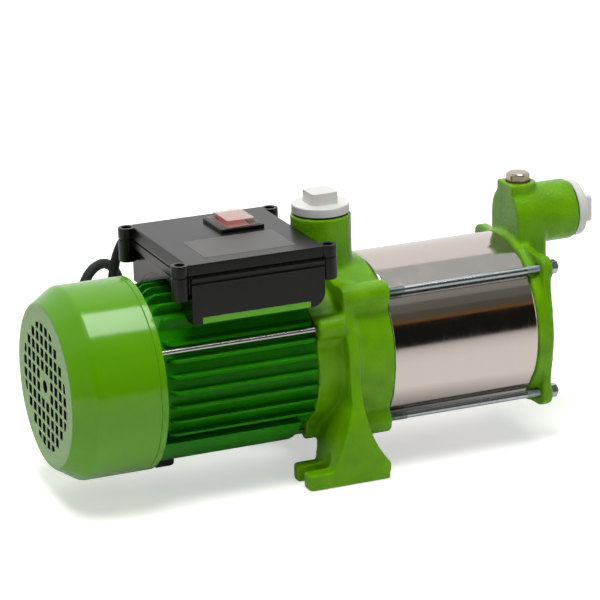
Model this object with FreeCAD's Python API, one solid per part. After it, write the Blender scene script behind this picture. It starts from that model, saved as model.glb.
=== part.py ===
import FreeCAD, Part

import math
import os

# Self-priming multistage pump. Millimetres, +X along the shaft from the fan to the discharge port,
# +Y to the far side, +Z up. The origin is the middle of the foot's underside.

# Shaft line
axis_height = 87.0
shaft_core_radius = 10.5
bearing_seat_radius = 8.5
seal_seat_radius = 8.0
stage_seat_radius = 7.5
shaft_thread_radius = 6.0
fan_seat_radius = 7.0
bearing_ball_space = 11.5
bearing_width = 12.0
bearing_ring_wall = 3.4
running_gap = 0.05
seal_wall = 6.0
seal_pocket_depth = 5.0
seal_stand = 1.0
seal_rotor_length = 14.0
moving_gap = 0.4

# Motor
motor_front = -16.5
motor_length = 129.5
frame_bore = 55.0
frame_wall = 4.5
frame_ring_length = 8.0
fin_back_gap = 14.0
fin_height = 6.5
fin_pitch = 11.5
fin_offset = 1.5
side_fin_reach = 41.0
top_fin_reach = 46.0
fin_thickness = 2.6
fin_end_round = 6.0
panel_height = 8.5
panel_edge_drop = 39.6
panel_front_gap = 12.0
core_length = 66.0
core_offset = 3.75
air_gap = 0.5
stator_depth = 25.0
winding_length = 16.0
winding_wall = 17.0
shield_thickness = 12.0
shield_web_depth = 6.0
bearing_hub_wall = 5.5
motor_rod_radius = 2.0
motor_rod_rise = 6.2
motor_rod_angle = 29.0
low_rod_rise = 4.2
low_rod_angle = 65.0
rod_head_radius = 4.0
rod_head_length = 3.2
bumper_length = 16.0
bumper_width = 20.0
bumper_drop = 7.5
bumper_inset = 15.0

# Fan and its cover
cover_overlap = 5.7
cover_step = 6.8
cover_rise = 11.0
cover_shoulder = 17.0
cover_edge_round = 2.5
cover_corner_round = 8.0
cover_wall = 1.8
cover_seam_back = 4.7
cover_seam_depth = 0.6
slot_pitch = 10.0
slot_width = 5.8
slot_height = 6.8
slot_margin = 13.6
grille_tilt = 4.0
cover_hole_radius = 4.6
fan_space = 52.0
fan_tip_gap = 14.8
fan_back_gap = 10.0
fan_front_gap = 12.0
fan_disc_thickness = 2.5
fan_hub_wall = 5.5
fan_hub_inset = 12.0
fan_blade_count = 7
fan_blade_thickness = 2.0
clip_thickness = 1.0
clip_depth = 0.6

# Pump body casting
spigot_depth = 5.0
rib_back = 5.0
rib_width = 9.0
rib_height = 10.0
rim_height = 7.5
body_front = 43.0
spigot_length = 8.0
spigot_gap = 1.8
casting_wall = 6.0
lug_radius = 10.0
rod_stand = 3.5
port_bore = 15.2
neck_x = 13.5
neck_wall = 7.8
neck_rise = 43.7
motor_lug_radius = 8.5
low_lug_radius = 6.5
lug_blend = 7.0
rib_blend = 30.0
neck_blend = 4.0

# Foot
foot_length = 67.0
foot_half_width = 79.0
pad_width = 35.0
pad_thickness = 12.5
foot_slot_width = 11.0
foot_slot_length = 24.5
foot_slot_inset = 18.5
leg_width = 39.0
leg_back_reach = 13.0
leg_waist_drop = 25.0
leg_upright_drop = 55.0

# Sleeve, stages and head casting
sleeve_step = 0.7
sleeve_wall = 1.5
sleeve_roll = 3.0
sleeve_length = 121.7
stage_count = 5
stage_gap = 2.0
stage_wall = 1.6
stage_eye_radius = 17.0
impeller_tip_gap = 13.0
impeller_shroud = 1.8
impeller_gap = 2.0
impeller_hub_wall = 4.0
impeller_hub_length = 12.0
impeller_nut_wall = 3.5
impeller_nut_height = 7.0
guide_length = 6.0
guide_plate = 1.4
guide_gap = 1.54
blade_count = 6
guide_count = 8
head_groove_back = 5.0
head_groove_width = 1.4
head_groove_depth = 2.0
head_depth = 13.2
head_wall = 6.5
head_lug_depth = 15.3
head_blend = 110.0
riser_back = 3.8
riser_front = 29.8
riser_drop = 34.0
riser_round = 6.0
port_rise = 12.0
port_wall = 8.3
port_reach = 56.7
boss_reach = 15.3
boss_wall = 7.2
boss_rise = 27.5
priming_bore = 6.8
passage_step = 2.2

# Pump tie rods, plugs and their seals
tie_rod_radius = 3.0
tie_shank_radius = 2.65
tie_thread_length = 16.0
nut_flats = 10.0
nut_height = 5.0
washer_radius = 6.0
washer_thickness = 1.2
plug_lip = 6.7
plug_thickness = 6.8
plug_head_side = 21.5
plug_head_height = 9.3
plug_wall = 2.6
plug_thread_length = 11.0
plug_gap = 0.3
gasket_thickness = 1.5
o_ring_radius = 1.6
hex_flats = 17.0
hex_height = 6.0
hex_washer_thickness = 1.0
hex_thread_length = 9.0

# Terminal box
box_gap = 0.3
box_length = 107.4
box_side_inset = 5.0
saddle_gap = 6.0
skirt_drop = 21.0
skirt_step = 2.0
skirt_back_inset = 1.7
skirt_front_inset = 0.8
tray_rise = 23.0
box_height = 36.5
lid_height = 8.5
flare_reach = 2.8
flare_drop = 6.0
flare_low = 6.5
ridge_height = 1.6
ridge_depth = 0.9
box_wall = 2.6
ear_stand = 4.55
ear_side_inset = 5.1
ear_radius = 6.6
ear_height = 17.0
ear_recess_radius = 3.6
ear_recess_depth = 5.0
screw_radius = 1.8
screw_length = 16.0
screw_head_height = 2.2
box_corner = 11.0
lid_gasket_thickness = 0.8
frame_pad_length = 62.0
frame_pad_width = 52.0

# Switch on the lid
switch_offset = 16.3
switch_y = 25.0
bezel_length = 35.5
bezel_width = 39.0
bezel_height = 2.6
bezel_rim = 3.8
switch_depth = 12.0
rocker_length = 26.0
rocker_width = 19.0
rocker_height = 5.0
rocker_tilt = 8.0
rocker_pin_radius = 1.5
rocker_pin_drop = 1.5
boot_height = 5.4
boot_wall = 0.8
boot_clearance = 0.8
boot_end_room = 1.2

# Inside the terminal box
capacitor_radius = 13.0
capacitor_length = 62.0
capacitor_offset = 13.5
capacitor_inset = 17.5
block_length = 34.0
block_width = 18.0
block_height = 14.0
block_offset = 3.5
block_y = -19.0

# Supply cord, its gland and mains plug
cord_radius = 4.0
gland_inset = 19.2
gland_rise = 22.0
gland_radius = 8.0
gland_flats = 20.0
gland_hex_length = 6.0
gland_length = 27.0
gland_nut_length = 4.0
floor_gap = 0.3
coil_x = 0.0
coil_y = 238.0
coil_radius = 44.0
coil_half_width = 8.5
coil_height = 17.0
coil_stub = 40.0
coil_lead_radius = 48.0
tail_reach = 68.0
mains_body_length = 44.0
mains_body_radius = 18.0
mains_grip_radius = 7.0
mains_pin_radius = 2.4
mains_pin_length = 19.0
mains_pin_span = 19.0

# Radii that follow from the motor frame's bore
frame_root = frame_bore + frame_wall
fin_tip_radius = frame_root + fin_height
panel_radius = frame_root + panel_height
rotor_radius = frame_bore - stator_depth - air_gap
motor_rod_circle = frame_root + motor_rod_rise
low_rod_circle = frame_root + low_rod_rise
cover_radius = fin_tip_radius + cover_step
cover_face_radius = cover_radius - cover_rise
shield_radius = cover_radius - cover_wall
slot_field_radius = cover_face_radius - slot_margin
fan_radius = cover_radius - fan_tip_gap
flange_radius = frame_root
rib_radius = flange_radius + rib_height
rim_radius = flange_radius + rim_height
sleeve_radius = rim_radius - sleeve_step
spigot_radius = sleeve_radius - sleeve_wall - spigot_gap
chamber_radius = spigot_radius - casting_wall
stage_radius = spigot_radius - stage_gap
impeller_radius = stage_radius - impeller_tip_gap
rod_circle = rim_radius + rod_stand
saddle_radius = fin_tip_radius + saddle_gap

# Radii that follow from the shaft's seats
bearing_radius = bearing_seat_radius + bearing_ball_space
seal_pocket_radius = seal_seat_radius + seal_wall
impeller_hub_radius = stage_seat_radius + impeller_hub_wall
fan_hub_radius = fan_seat_radius + fan_hub_wall

# Places along the shaft
motor_back = motor_front - motor_length
shield_back = motor_back - shield_thickness
rear_bearing_back = motor_back - bearing_width
core_middle = (motor_back + motor_front) / 2 - core_offset
core_back = core_middle - core_length / 2
core_front = core_middle + core_length / 2
cover_front = motor_back + cover_overlap
cover_back = shield_back - fan_space
fan_back = cover_back + fan_back_gap
fan_hub_back = fan_back + fan_hub_inset
fan_disc_front = shield_back - fan_front_gap
bumper_back = motor_back + bumper_inset
rib_front = rib_back + rib_width
front_bearing_front = rib_back
front_bearing_back = front_bearing_front - bearing_width
seal_wall_front = rib_front
sleeve_end = body_front + sleeve_length
stack_start = body_front + spigot_length
stack_end = sleeve_end - spigot_length
stage_pitch = (stack_end - stack_start) / stage_count
guide_depth = guide_gap + guide_plate + guide_length
impeller_channel = stage_pitch - stage_wall - impeller_gap - 2 * impeller_shroud - guide_depth
head_front = sleeve_end + head_depth
lug_front = sleeve_end + head_lug_depth

# Ports and the priming boss
neck_radius = port_bore + neck_wall
neck_top = axis_height + flange_radius + neck_rise
port_radius = port_bore + port_wall
port_z = axis_height + rim_radius + port_rise
port_end = sleeve_end + port_reach
boss_x = sleeve_end + boss_reach
boss_radius = priming_bore + boss_wall
boss_top = port_z + boss_rise
passage_radius = port_bore - passage_step
plug_radius = port_bore + plug_lip

# Terminal box and what it carries
box_front = neck_x - neck_radius - box_gap
box_middle = box_front - box_length / 2
box_half_width = fin_tip_radius - box_side_inset
skirt_half_width = box_half_width + skirt_step
box_bottom = axis_height + saddle_radius - skirt_drop
tray_bottom = box_bottom + tray_rise
box_split = box_bottom + box_height
lid_top = box_split + lid_height
screw_span_x = box_length + 2 * ear_stand
screw_span_y = 2 * (box_half_width - ear_side_inset)
switch_x = box_middle + switch_offset
capacitor_middle = box_middle + capacitor_offset
capacitor_y = capacitor_inset - box_half_width
block_x = box_middle + block_offset
gland_x = box_middle - box_length / 2 + gland_inset
gland_z = box_bottom + gland_rise
cord_level = cord_radius + floor_gap
mains_level = mains_body_radius + floor_gap

# Route of the cord from the gland, down behind the motor, up over one free loop and on to the coil
gland_exit_y = skirt_half_width + gland_length
coil_entry_x = coil_x - coil_stub
coil_entry_y = coil_y + coil_lead_radius
cord_points = [
    (gland_x, gland_exit_y, gland_z),
    (gland_x, gland_exit_y + 28, gland_z),
    (-102, 139, 139),
    (-108, 139, 108),
    (-112, 134, 80),
    (-111, 128, 52),
    (-110, 124, 24),
    (-90, 119, cord_level),
    (-58, 117, cord_level),
    (-24, 115, cord_level),
    (12, 117, cord_level),
    (30, 134, cord_level),
    (30, 158, cord_level),
    (12, 175, cord_level),
    (-18, 178, cord_level),
    (-46, 177, cord_level),
    (-72, 175, cord_level),
    (-92, 173, 24),
    (-92, 171, 54),
    (-91, 169, 82),
    (-90, 168, 109),
    (-104, 157, 127),
    (-124, 141, 127),
    (-138, 130, 109),
    (-140, 128, 80),
    (-139, 128, 52),
    (-139, 129, 24),
    (-137, 149, cord_level),
    (-132, 178, cord_level),
    (-124, 214, cord_level),
    (-106, 256, cord_level),
    (coil_entry_x - 32, coil_entry_y, cord_level),
    (coil_entry_x, coil_entry_y, cord_level),
]


def vector(x, y, z):
    return FreeCAD.Vector(x, y, z)


def face_of(place, start, *steps):
    """Flat face inside an outline: a step is a point, or a pair of points for an arc."""
    first = place(*start)
    here = first
    edges = []
    for step in steps:
        if isinstance(step[0], tuple):
            through = place(*step[0])
            end = place(*step[1])
            edges.append(Part.Arc(here, through, end).toShape())
        else:
            end = place(*step)
            edges.append(Part.LineSegment(here, end).toShape())
        here = end
    if here.distanceToPoint(first) > 1e-6:
        edges.append(Part.LineSegment(here, first).toShape())
    return Part.Face(Part.Wire(edges))


def rounded(before, point, after, radius):
    """Steps of an outline that round a corner: the arc's start, then the pair of points of the arc."""
    corner = vector(point[0], point[1], 0)
    back = (vector(before[0], before[1], 0) - corner).normalize()
    on = (vector(after[0], after[1], 0) - corner).normalize()
    half = back.getAngle(on) / 2
    start = corner + back * (radius / math.tan(half))
    end = corner + on * (radius / math.tan(half))
    middle = corner + (back + on).normalize() * (radius / math.sin(half) - radius)
    return (start.x, start.y), ((middle.x, middle.y), (end.x, end.y))


def turned(start, *steps):
    """Solid turned about the shaft line from an outline of (x, radius) points."""
    face = face_of(lambda x, r: vector(x, 0, axis_height + r), start, *steps)
    return face.revolve(vector(0, 0, axis_height), vector(1, 0, 0), 360)


def turned_up(x, y, start, *steps):
    """Solid turned about a vertical line at x, y from an outline of (radius, z) points."""
    face = face_of(lambda r, z: vector(x + r, y, z), start, *steps)
    return face.revolve(vector(x, y, 0), vector(0, 0, 1), 360)


def disc(back, front, radius, y=0.0, z=None):
    """Round bar along the shaft direction."""
    height = axis_height if z is None else z
    return Part.makeCylinder(radius, front - back, vector(back, y, height), vector(1, 0, 0))


def ring(back, front, outer, inner):
    return disc(back, front, outer).cut(disc(back, front, inner))


def upright(x, y, bottom, top, radius):
    return Part.makeCylinder(radius, top - bottom, vector(x, y, bottom))


def block(x0, x1, y0, y1, z0, z1):
    return Part.makeBox(x1 - x0, y1 - y0, z1 - z0, vector(x0, y0, z0))


def swung(start, end):
    """Step of an outline that leaves its start upright and bends to its end: an arc's two points."""
    across = end[0] - start[0]
    up = end[1] - start[1]
    chord = math.hypot(across, up)
    rise = chord / 2 * math.tan(math.atan2(abs(across), abs(up)) / 2)
    side = 1 if across * up > 0 else -1
    out = side * rise / chord
    middle = ((start[0] + end[0]) / 2 - out * up, (start[1] + end[1]) / 2 + out * across)
    return middle, end


def edges_along(shape, direction):
    """Straight edges of a shape that run along a direction."""
    found = []
    for edge in shape.Edges:
        if isinstance(edge.Curve, (Part.Line, Part.LineSegment)):
            if abs(abs(edge.tangentAt(edge.FirstParameter).dot(direction)) - 1) < 1e-6:
                found.append(edge)
    return found


def rounded_block(x0, x1, y0, y1, z0, z1, radius, direction=None):
    """Block with its edges along one direction, vertical if none is given, rounded."""
    solid = block(x0, x1, y0, y1, z0, z1)
    run = direction or vector(0, 0, 1)
    return solid.makeFillet(radius, edges_along(solid, run))


def around(radius, angle):
    """y and z at an angle that counts from the near side upwards."""
    turn = math.radians(angle)
    return -radius * math.cos(turn), axis_height + radius * math.sin(turn)


def mirrored(shape):
    """Copy on the other side of the upright plane through the shaft."""
    return shape.mirror(vector(0, 0, 0), vector(0, 1, 0))


def hexagon(flats, height, base, direction):
    """Hexagonal prism that stands on a base point along a direction."""
    corner = flats / math.sqrt(3)
    points = []
    for step in range(7):
        turn = math.radians(60 * step + 30)
        points.append(vector(corner * math.cos(turn), corner * math.sin(turn), 0))
    solid = Part.Face(Part.makePolygon(points)).extrude(vector(0, 0, height))
    solid.Placement = FreeCAD.Placement(base, FreeCAD.Rotation(vector(0, 0, 1), direction))
    return solid


def lug(back, front, main_radius, distance, radius, angle, blend):
    """Ear for a rod on a round flange: a round end that blends into the flange by hollow arcs."""
    reach = main_radius + blend
    spread = math.acos((reach ** 2 + distance ** 2 - (radius + blend) ** 2) / (2 * reach * distance))

    def place(r, turn):
        y, z = around(r, angle + math.degrees(turn))
        return vector(back, y, z)

    middle = place(distance, 0)
    outline = []
    for sign in (-1, 1):
        blend_middle = place(reach, sign * spread)
        on_flange = place(main_radius, sign * spread)
        on_ear = middle + (blend_middle - middle) * (radius / (radius + blend))
        inwards = (on_flange + on_ear) * 0.5 - blend_middle
        outline.append((on_flange, blend_middle + inwards.normalize() * blend, on_ear))
    low, high = outline
    hub = vector(back, 0, axis_height)
    edges = [
        Part.LineSegment(hub, low[0]).toShape(),
        Part.Arc(*low).toShape(),
        Part.Arc(low[2], place(distance + radius, 0), high[2]).toShape(),
        Part.Arc(high[2], high[1], high[0]).toShape(),
        Part.LineSegment(high[0], hub).toShape(),
    ]
    return Part.Face(Part.Wire(edges)).extrude(vector(front - back, 0, 0))


def rod_angles(first_angle):
    return [first_angle + 90 * step for step in range(4)]


def rod_places(circle, first_angle):
    return [around(circle, angle) for angle in rod_angles(first_angle)]


def motor_rods():
    """Circle and angle of the motor's four rods: two beside the fins, two inside the lower panel."""
    high = [(motor_rod_circle, angle) for angle in (motor_rod_angle, 180 - motor_rod_angle)]
    low = [(low_rod_circle, angle) for angle in (-low_rod_angle, 180 + low_rod_angle)]
    return high, low


def motor_rod_places():
    high, low = motor_rods()
    return [around(circle, angle) for circle, angle in high + low]


def joined(shape, others):
    return shape.fuse(others).removeSplitter()


# Pump body


def leg():
    """Near leg: its flared side outline crossed with its curved outline from the motor side."""
    half = foot_length / 2
    low = pad_thickness / 2
    leg_top = axis_height
    leg_waist_height = axis_height - leg_waist_drop
    leg_upright_height = axis_height - leg_upright_drop
    span = leg_top - pad_thickness
    side = face_of(
        lambda x, z: vector(x, -foot_half_width, z),
        (-leg_back_reach, low),
        (-leg_back_reach, pad_thickness),
        ((rib_back - 7.0, pad_thickness + span * 0.38), (rib_back, leg_waist_height)),
        (rib_back, leg_top),
        (rib_front, leg_top),
        (rib_front, leg_waist_height - 4),
        ((rib_front + 5.5, pad_thickness + span * 0.3), (half, pad_thickness)),
        (half, low),
    ).extrude(vector(0, foot_half_width, 0))
    inner = leg_width - foot_half_width
    foot = (-foot_half_width, leg_upright_height)
    hip = (-rib_radius, leg_top)
    knee = ((foot[0] + hip[0]) / 2, (foot[1] + hip[1]) / 2)
    front = face_of(
        lambda y, z: vector(-half, y, z),
        (-foot_half_width, low),
        foot,
        swung(foot, knee),
        (swung(hip, knee)[0], hip),
        (-flange_radius + casting_wall, leg_top),
        (inner + 24, leg_upright_height),
        ((inner + 5.5, pad_thickness + 8.5), (inner, pad_thickness)),
        (inner, low),
    ).extrude(vector(foot_length, 0, 0))
    return side.common(front)


def foot_pad():
    """Near foot pad with the bolt slot that is open towards the motor."""
    half = foot_length / 2
    pad = rounded_block(-half, half, -foot_half_width, pad_width - foot_half_width, 0, pad_thickness, 4.5)
    slot_y = foot_slot_inset - foot_half_width
    round_x = foot_slot_length - half - foot_slot_width / 2
    slot_half = foot_slot_width / 2
    slot = block(-half, round_x, slot_y - slot_half, slot_y + slot_half, 0, pad_thickness * 2)
    return pad, slot.fuse(upright(round_x, slot_y, 0, pad_thickness * 2, slot_half))


def pump_body():
    outside = turned(
        (motor_front, 0),
        (motor_front, flange_radius),
        (rib_back, flange_radius),
        (rib_back, rib_radius),
        (rib_front, rib_radius),
        (rib_front, rim_radius),
        (body_front, rim_radius),
        (body_front, spigot_radius),
        (stack_start, spigot_radius),
        (stack_start, 0),
    )
    pieces = []
    for angle in rod_angles(45):
        pieces.append(lug(rib_front, body_front, rim_radius, rod_circle, lug_radius, angle, lug_blend))
        pieces.append(lug(rib_back, rib_front, rib_radius, rod_circle, lug_radius, angle, rib_blend))
    high, low = motor_rods()
    for circle, angle in high:
        pieces.append(lug(motor_front, rib_back, flange_radius, circle, motor_lug_radius, angle, lug_blend))
    for circle, angle in low:
        pieces.append(lug(motor_front, rib_back, flange_radius, circle, low_lug_radius, angle, lug_blend))
    near_leg = leg()
    near_pad, near_slot = foot_pad()
    pieces.extend([near_leg, mirrored(near_leg), near_pad, mirrored(near_pad)])
    pieces.append(upright(neck_x, 0, axis_height + flange_radius - casting_wall, neck_top, neck_radius))
    body = joined(outside, pieces)
    body = body.makeFillet(neck_blend, neck_root(body))
    holes = [near_slot, mirrored(near_slot)]
    hub_radius = bearing_radius + bearing_hub_wall
    holes.append(disc(motor_front, motor_front + spigot_depth, frame_bore))
    bell_front = rib_back - casting_wall
    bell = ring(motor_front + spigot_depth, bell_front, frame_bore - casting_wall, hub_radius)
    holes.append(bell)
    holes.append(disc(motor_front, front_bearing_back, hub_radius))
    holes.append(disc(front_bearing_back, front_bearing_front, bearing_radius))
    holes.append(disc(front_bearing_front, seal_wall_front, seal_seat_radius + 2.5))
    holes.append(disc(seal_wall_front - seal_pocket_depth, seal_wall_front, seal_pocket_radius))
    holes.append(disc(seal_wall_front, stack_start, chamber_radius))
    holes.append(upright(neck_x, 0, axis_height + chamber_radius - casting_wall, neck_top, port_bore))
    for y, z in rod_places(rod_circle, 45):
        holes.append(disc(rib_front + 2, body_front + 2, tie_rod_radius, y, z))
    for y, z in motor_rod_places():
        holes.append(disc(motor_front, rib_back - 3, motor_rod_radius, y, z))
    holes.append(spigot_groove(body_front + sleeve_roll))
    return body.cut(holes)


def neck_root(body):
    """Edges where the suction neck meets the casting below it."""
    found = []
    for edge in body.Edges:
        middle = edge.valueAt((edge.FirstParameter + edge.LastParameter) / 2)
        out = math.hypot(middle.x - neck_x, middle.y)
        box = edge.BoundBox
        if abs(out - neck_radius) < 0.01 and box.ZMax < neck_top - 1 and box.ZLength < neck_radius:
            found.append(edge)
    return found


def spigot_groove(back):
    """Groove in a spigot for the ring seal under the sleeve."""
    floor = sleeve_radius - sleeve_wall - 2 * o_ring_radius
    return ring(back, back + 2 * o_ring_radius + 0.4, spigot_radius + 1, floor)


# Sleeve and the stages inside it


def outer_sleeve():
    """Polished tube whose two ends roll inwards over the spigots."""
    outer = sleeve_radius
    inner = sleeve_radius - sleeve_wall
    lip = sleeve_roll
    bend = lip * (1 - math.sqrt(0.5))
    inner_roll = lip - sleeve_wall
    inner_bend = sleeve_wall + inner_roll * (1 - math.sqrt(0.5))
    return turned(
        (body_front, outer - lip),
        ((body_front + bend, outer - bend), (body_front + lip, outer)),
        (sleeve_end - lip, outer),
        ((sleeve_end - bend, outer - bend), (sleeve_end, outer - lip)),
        (sleeve_end - sleeve_wall, outer - lip),
        ((sleeve_end - inner_bend, outer - inner_bend), (sleeve_end - lip, inner)),
        (body_front + lip, inner),
        ((body_front + inner_bend, outer - inner_bend), (body_front + sleeve_wall, outer - lip)),
    )


def sleeve_o_rings():
    middle = sleeve_radius - sleeve_wall - o_ring_radius
    rings = []
    reach = sleeve_roll + o_ring_radius + 0.2
    for x in (body_front + reach, sleeve_end - reach):
        rings.append(Part.makeTorus(middle, o_ring_radius, vector(x, 0, axis_height), vector(1, 0, 0)))
    return Part.makeCompound(rings)


def curved_vane(back, front, inner, outer, sweep, thickness):
    """Blade that leans back as it runs outwards, as a strip between two arcs."""
    points = []
    for side in (-0.5, 0.5):
        row = []
        for share in (0.0, 0.5, 1.0):
            radius = inner + (outer - inner) * share
            turn = math.radians(sweep * share) + side * thickness / radius
            row.append((radius * math.sin(turn), axis_height + radius * math.cos(turn)))
        points.append(row)
    left, right = points
    face = face_of(
        lambda y, z: vector(back, y, z),
        left[0],
        (left[1], left[2]),
        right[2],
        (right[1], right[0]),
    )
    return face.extrude(vector(front - back, 0, 0))


def fanned(shape, count):
    """Copies of a shape spread evenly round the shaft."""
    copies = []
    for step in range(count):
        copy = shape.copy()
        copy.rotate(vector(0, 0, axis_height), vector(1, 0, 0), 360 * step / count)
        copies.append(copy)
    return copies


def impeller():
    """Closed impeller at the start of the stack: two shrouds, blades between them and a hub."""
    back = stack_start + stage_wall + impeller_gap
    channel = back + impeller_shroud
    cover = channel + impeller_channel
    front = cover + impeller_shroud
    eye_shroud = ring(back, channel, impeller_radius, stage_eye_radius - 2.5)
    back_shroud = disc(cover, front, impeller_radius)
    hub = disc(channel, back + impeller_hub_length, impeller_hub_radius)
    vane = curved_vane(channel - 0.2, cover + 0.2, impeller_hub_radius + 3, impeller_radius - 0.5, 55, 1.8)
    body = joined(back_shroud, [hub, eye_shroud] + fanned(vane, blade_count))
    return body.cut(disc(back - 1, back + impeller_hub_length + 1, stage_seat_radius))


def stage_casing():
    """Cup that guides the water from one impeller to the next."""
    back = stack_start
    front = stack_start + stage_pitch
    shell = turned(
        (back, stage_eye_radius),
        (back, stage_radius),
        (front, stage_radius),
        (front, stage_radius - stage_wall),
        (back + stage_wall, stage_radius - stage_wall),
        (back + stage_wall, stage_eye_radius),
    )
    vane_back = front - guide_length
    vane = curved_vane(vane_back, front, impeller_hub_radius + 8, stage_radius - stage_wall / 2, -50, 1.6)
    plate = ring(vane_back - guide_plate, vane_back, impeller_radius + 6, impeller_hub_radius + 2)
    return joined(shell, [plate] + fanned(vane, guide_count))


def repeated(shape, count, step):
    copies = []
    for place in range(count):
        copy = shape.copy()
        copy.translate(vector(place * step, 0, 0))
        copies.append(copy)
    return Part.makeCompound(copies)


def impeller_spacers():
    """Sleeves on the shaft: one from the seal to the first impeller, then one between each two."""
    outer = impeller_hub_radius - 2
    hub_back = stack_start + stage_wall + impeller_gap + impeller_shroud
    back = stack_start + stage_wall + impeller_gap + impeller_hub_length
    first = ring(seal_end(), hub_back, outer, stage_seat_radius)
    between = ring(back, hub_back + stage_pitch, outer, stage_seat_radius)
    return Part.makeCompound([first, repeated(between, stage_count - 1, stage_pitch)])


def seal_end():
    return seal_wall_front + seal_stand + seal_rotor_length


def last_hub_front():
    return stack_start + stage_wall + impeller_gap + impeller_hub_length + (stage_count - 1) * stage_pitch


def impeller_nut():
    back = last_hub_front()
    flats = 2 * (shaft_thread_radius + impeller_nut_wall)
    nut = hexagon(flats, impeller_nut_height, vector(back, 0, axis_height), vector(1, 0, 0))
    return nut.cut(disc(back - 1, back + impeller_nut_height + 1, shaft_thread_radius))


def seal_seat():
    back = seal_wall_front - seal_pocket_depth
    return ring(back, seal_wall_front + seal_stand, seal_pocket_radius, seal_seat_radius + 1.2)


def seal_rotor():
    """Rotating half of the shaft seal: its carbon face, bellows and spring collar."""
    back = seal_wall_front + seal_stand
    front = seal_end()
    outer = seal_pocket_radius - 0.5
    return turned(
        (back, seal_seat_radius),
        (back, outer - 1.5),
        (back + 4, outer - 1.5),
        (back + 4, outer),
        (back + 7, outer),
        ((front - 5, outer - 2.5), (front - 3, outer)),
        (front, outer),
        (front, seal_seat_radius),
    )


# Head casting


def port_riser():
    """Riser on the head: upright walls, a round top and the round port that points forwards."""
    back = sleeve_end + riser_back
    front = sleeve_end + riser_front
    wall = face_of(
        lambda y, z: vector(back, y, z),
        (-port_radius, port_z - riser_drop),
        (-port_radius, port_z),
        ((0, port_z + port_radius), (port_radius, port_z)),
        (port_radius, port_z - riser_drop),
    ).extrude(vector(front - back, 0, 0))
    corners = [edge for edge in edges_along(wall, vector(0, 0, 1)) if edge.BoundBox.XMin > front - 1]
    return wall.makeFillet(riser_round, corners)


def priming_boss():
    """Boss for the priming plug: round in front, flat and level with the riser behind."""
    back = sleeve_end + riser_back
    outline = face_of(
        lambda x, y: vector(x, y, port_z),
        (back, -boss_radius),
        (boss_x, -boss_radius),
        ((boss_x + boss_radius, 0), (boss_x, boss_radius)),
        (back, boss_radius),
    )
    return outline.extrude(vector(0, 0, boss_top - port_z))


def pump_head():
    groove = sleeve_end + head_groove_back
    lug_back = groove + head_groove_width
    outside = turned(
        (stack_end, 0),
        (stack_end, spigot_radius),
        (sleeve_end, spigot_radius),
        (sleeve_end, rim_radius),
        (groove, rim_radius),
        (groove, rim_radius - head_groove_depth),
        (lug_back, rim_radius - head_groove_depth),
        (lug_back, rim_radius),
        ((head_front - 1, rim_radius - 1), (head_front, rim_radius - 4)),
        (head_front, 0),
    )
    pieces = [port_riser(), disc(sleeve_end + riser_back, port_end, port_radius, 0, port_z)]
    for angle in rod_angles(45):
        pieces.append(lug(lug_back, head_front, rim_radius, rod_circle, lug_radius, angle, head_blend))
        y, z = around(rod_circle, angle)
        pieces.append(disc(lug_back, lug_front, lug_radius - 0.5, y, z))
    pieces.append(priming_boss())
    head = joined(outside, pieces)
    passage_x = sleeve_end + (riser_back + riser_front) / 2 + 1
    passage_low = port_z - riser_drop - casting_wall * 2
    passage_top = port_z - riser_drop + casting_wall
    half = passage_radius - passage_step * 2
    holes = [disc(stack_end, head_front - head_wall, chamber_radius)]
    holes.append(upright(passage_x, 0, passage_low, port_z, passage_radius))
    holes.append(block(stack_end, passage_x, -half, half, passage_low, passage_top))
    holes.append(disc(passage_x, port_end, port_bore, 0, port_z))
    holes.append(upright(boss_x, 0, port_z, boss_top, priming_bore))
    for y, z in rod_places(rod_circle, 45):
        holes.append(disc(lug_back - 1, lug_front + 1, tie_rod_radius + 0.4, y, z))
    groove_back = sleeve_end - sleeve_roll - 2 * o_ring_radius - 0.4
    holes.append(spigot_groove(groove_back))
    return head.cut(holes)


# Tie rods of the pump


def pump_tie_rods():
    """Four studs: threaded ends and a thinner rolled shank."""
    back = rib_front + 2
    front = lug_front + washer_thickness + nut_height + 2
    rods = []
    for y, z in rod_places(rod_circle, 45):
        back_thread = body_front + tie_thread_length
        front_thread = sleeve_end - 3
        rod = disc(back, back_thread, tie_rod_radius, y, z)
        rod = rod.fuse(disc(back_thread, front_thread, tie_shank_radius, y, z))
        rods.append(rod.fuse(disc(front_thread, front, tie_rod_radius, y, z)))
    return Part.makeCompound(rods)


def pump_tie_nuts():
    nuts = []
    base = lug_front + washer_thickness
    for y, z in rod_places(rod_circle, 45):
        nut = hexagon(nut_flats, nut_height, vector(base, y, z), vector(1, 0, 0))
        nuts.append(nut.cut(disc(base - 1, base + nut_height + 1, tie_rod_radius, y, z)))
    return Part.makeCompound(nuts)


def pump_tie_washers():
    washers = []
    for y, z in rod_places(rod_circle, 45):
        whole = disc(lug_front, lug_front + washer_thickness, washer_radius, y, z)
        washers.append(whole.cut(disc(lug_front - 1, lug_front + 2, tie_rod_radius, y, z)))
    return Part.makeCompound(washers)


# Plugs


def port_plug():
    """Plastic transit plug that stands on the origin: flange, square head and hollow shank."""
    flange = Part.makeCylinder(plug_radius, plug_thickness, vector(0, 0, gasket_thickness))
    rim = [edge for edge in flange.Edges if edge.BoundBox.ZMin > gasket_thickness + plug_thickness - 0.1]
    flange = flange.makeFillet(1.0, rim)
    half = plug_head_side / 2
    top = gasket_thickness + plug_thickness
    head = rounded_block(-half, half, -half, half, top - 1, top + plug_head_height, 3.0)
    low = vector(0, 0, -plug_thread_length)
    shank_length = plug_thread_length + gasket_thickness
    shank = Part.makeCylinder(port_bore - plug_gap, shank_length, low)
    hollow = Part.makeCylinder(port_bore - plug_gap - plug_wall, shank_length + 1, low)
    return joined(flange, [head, shank]).cut(hollow)


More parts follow.
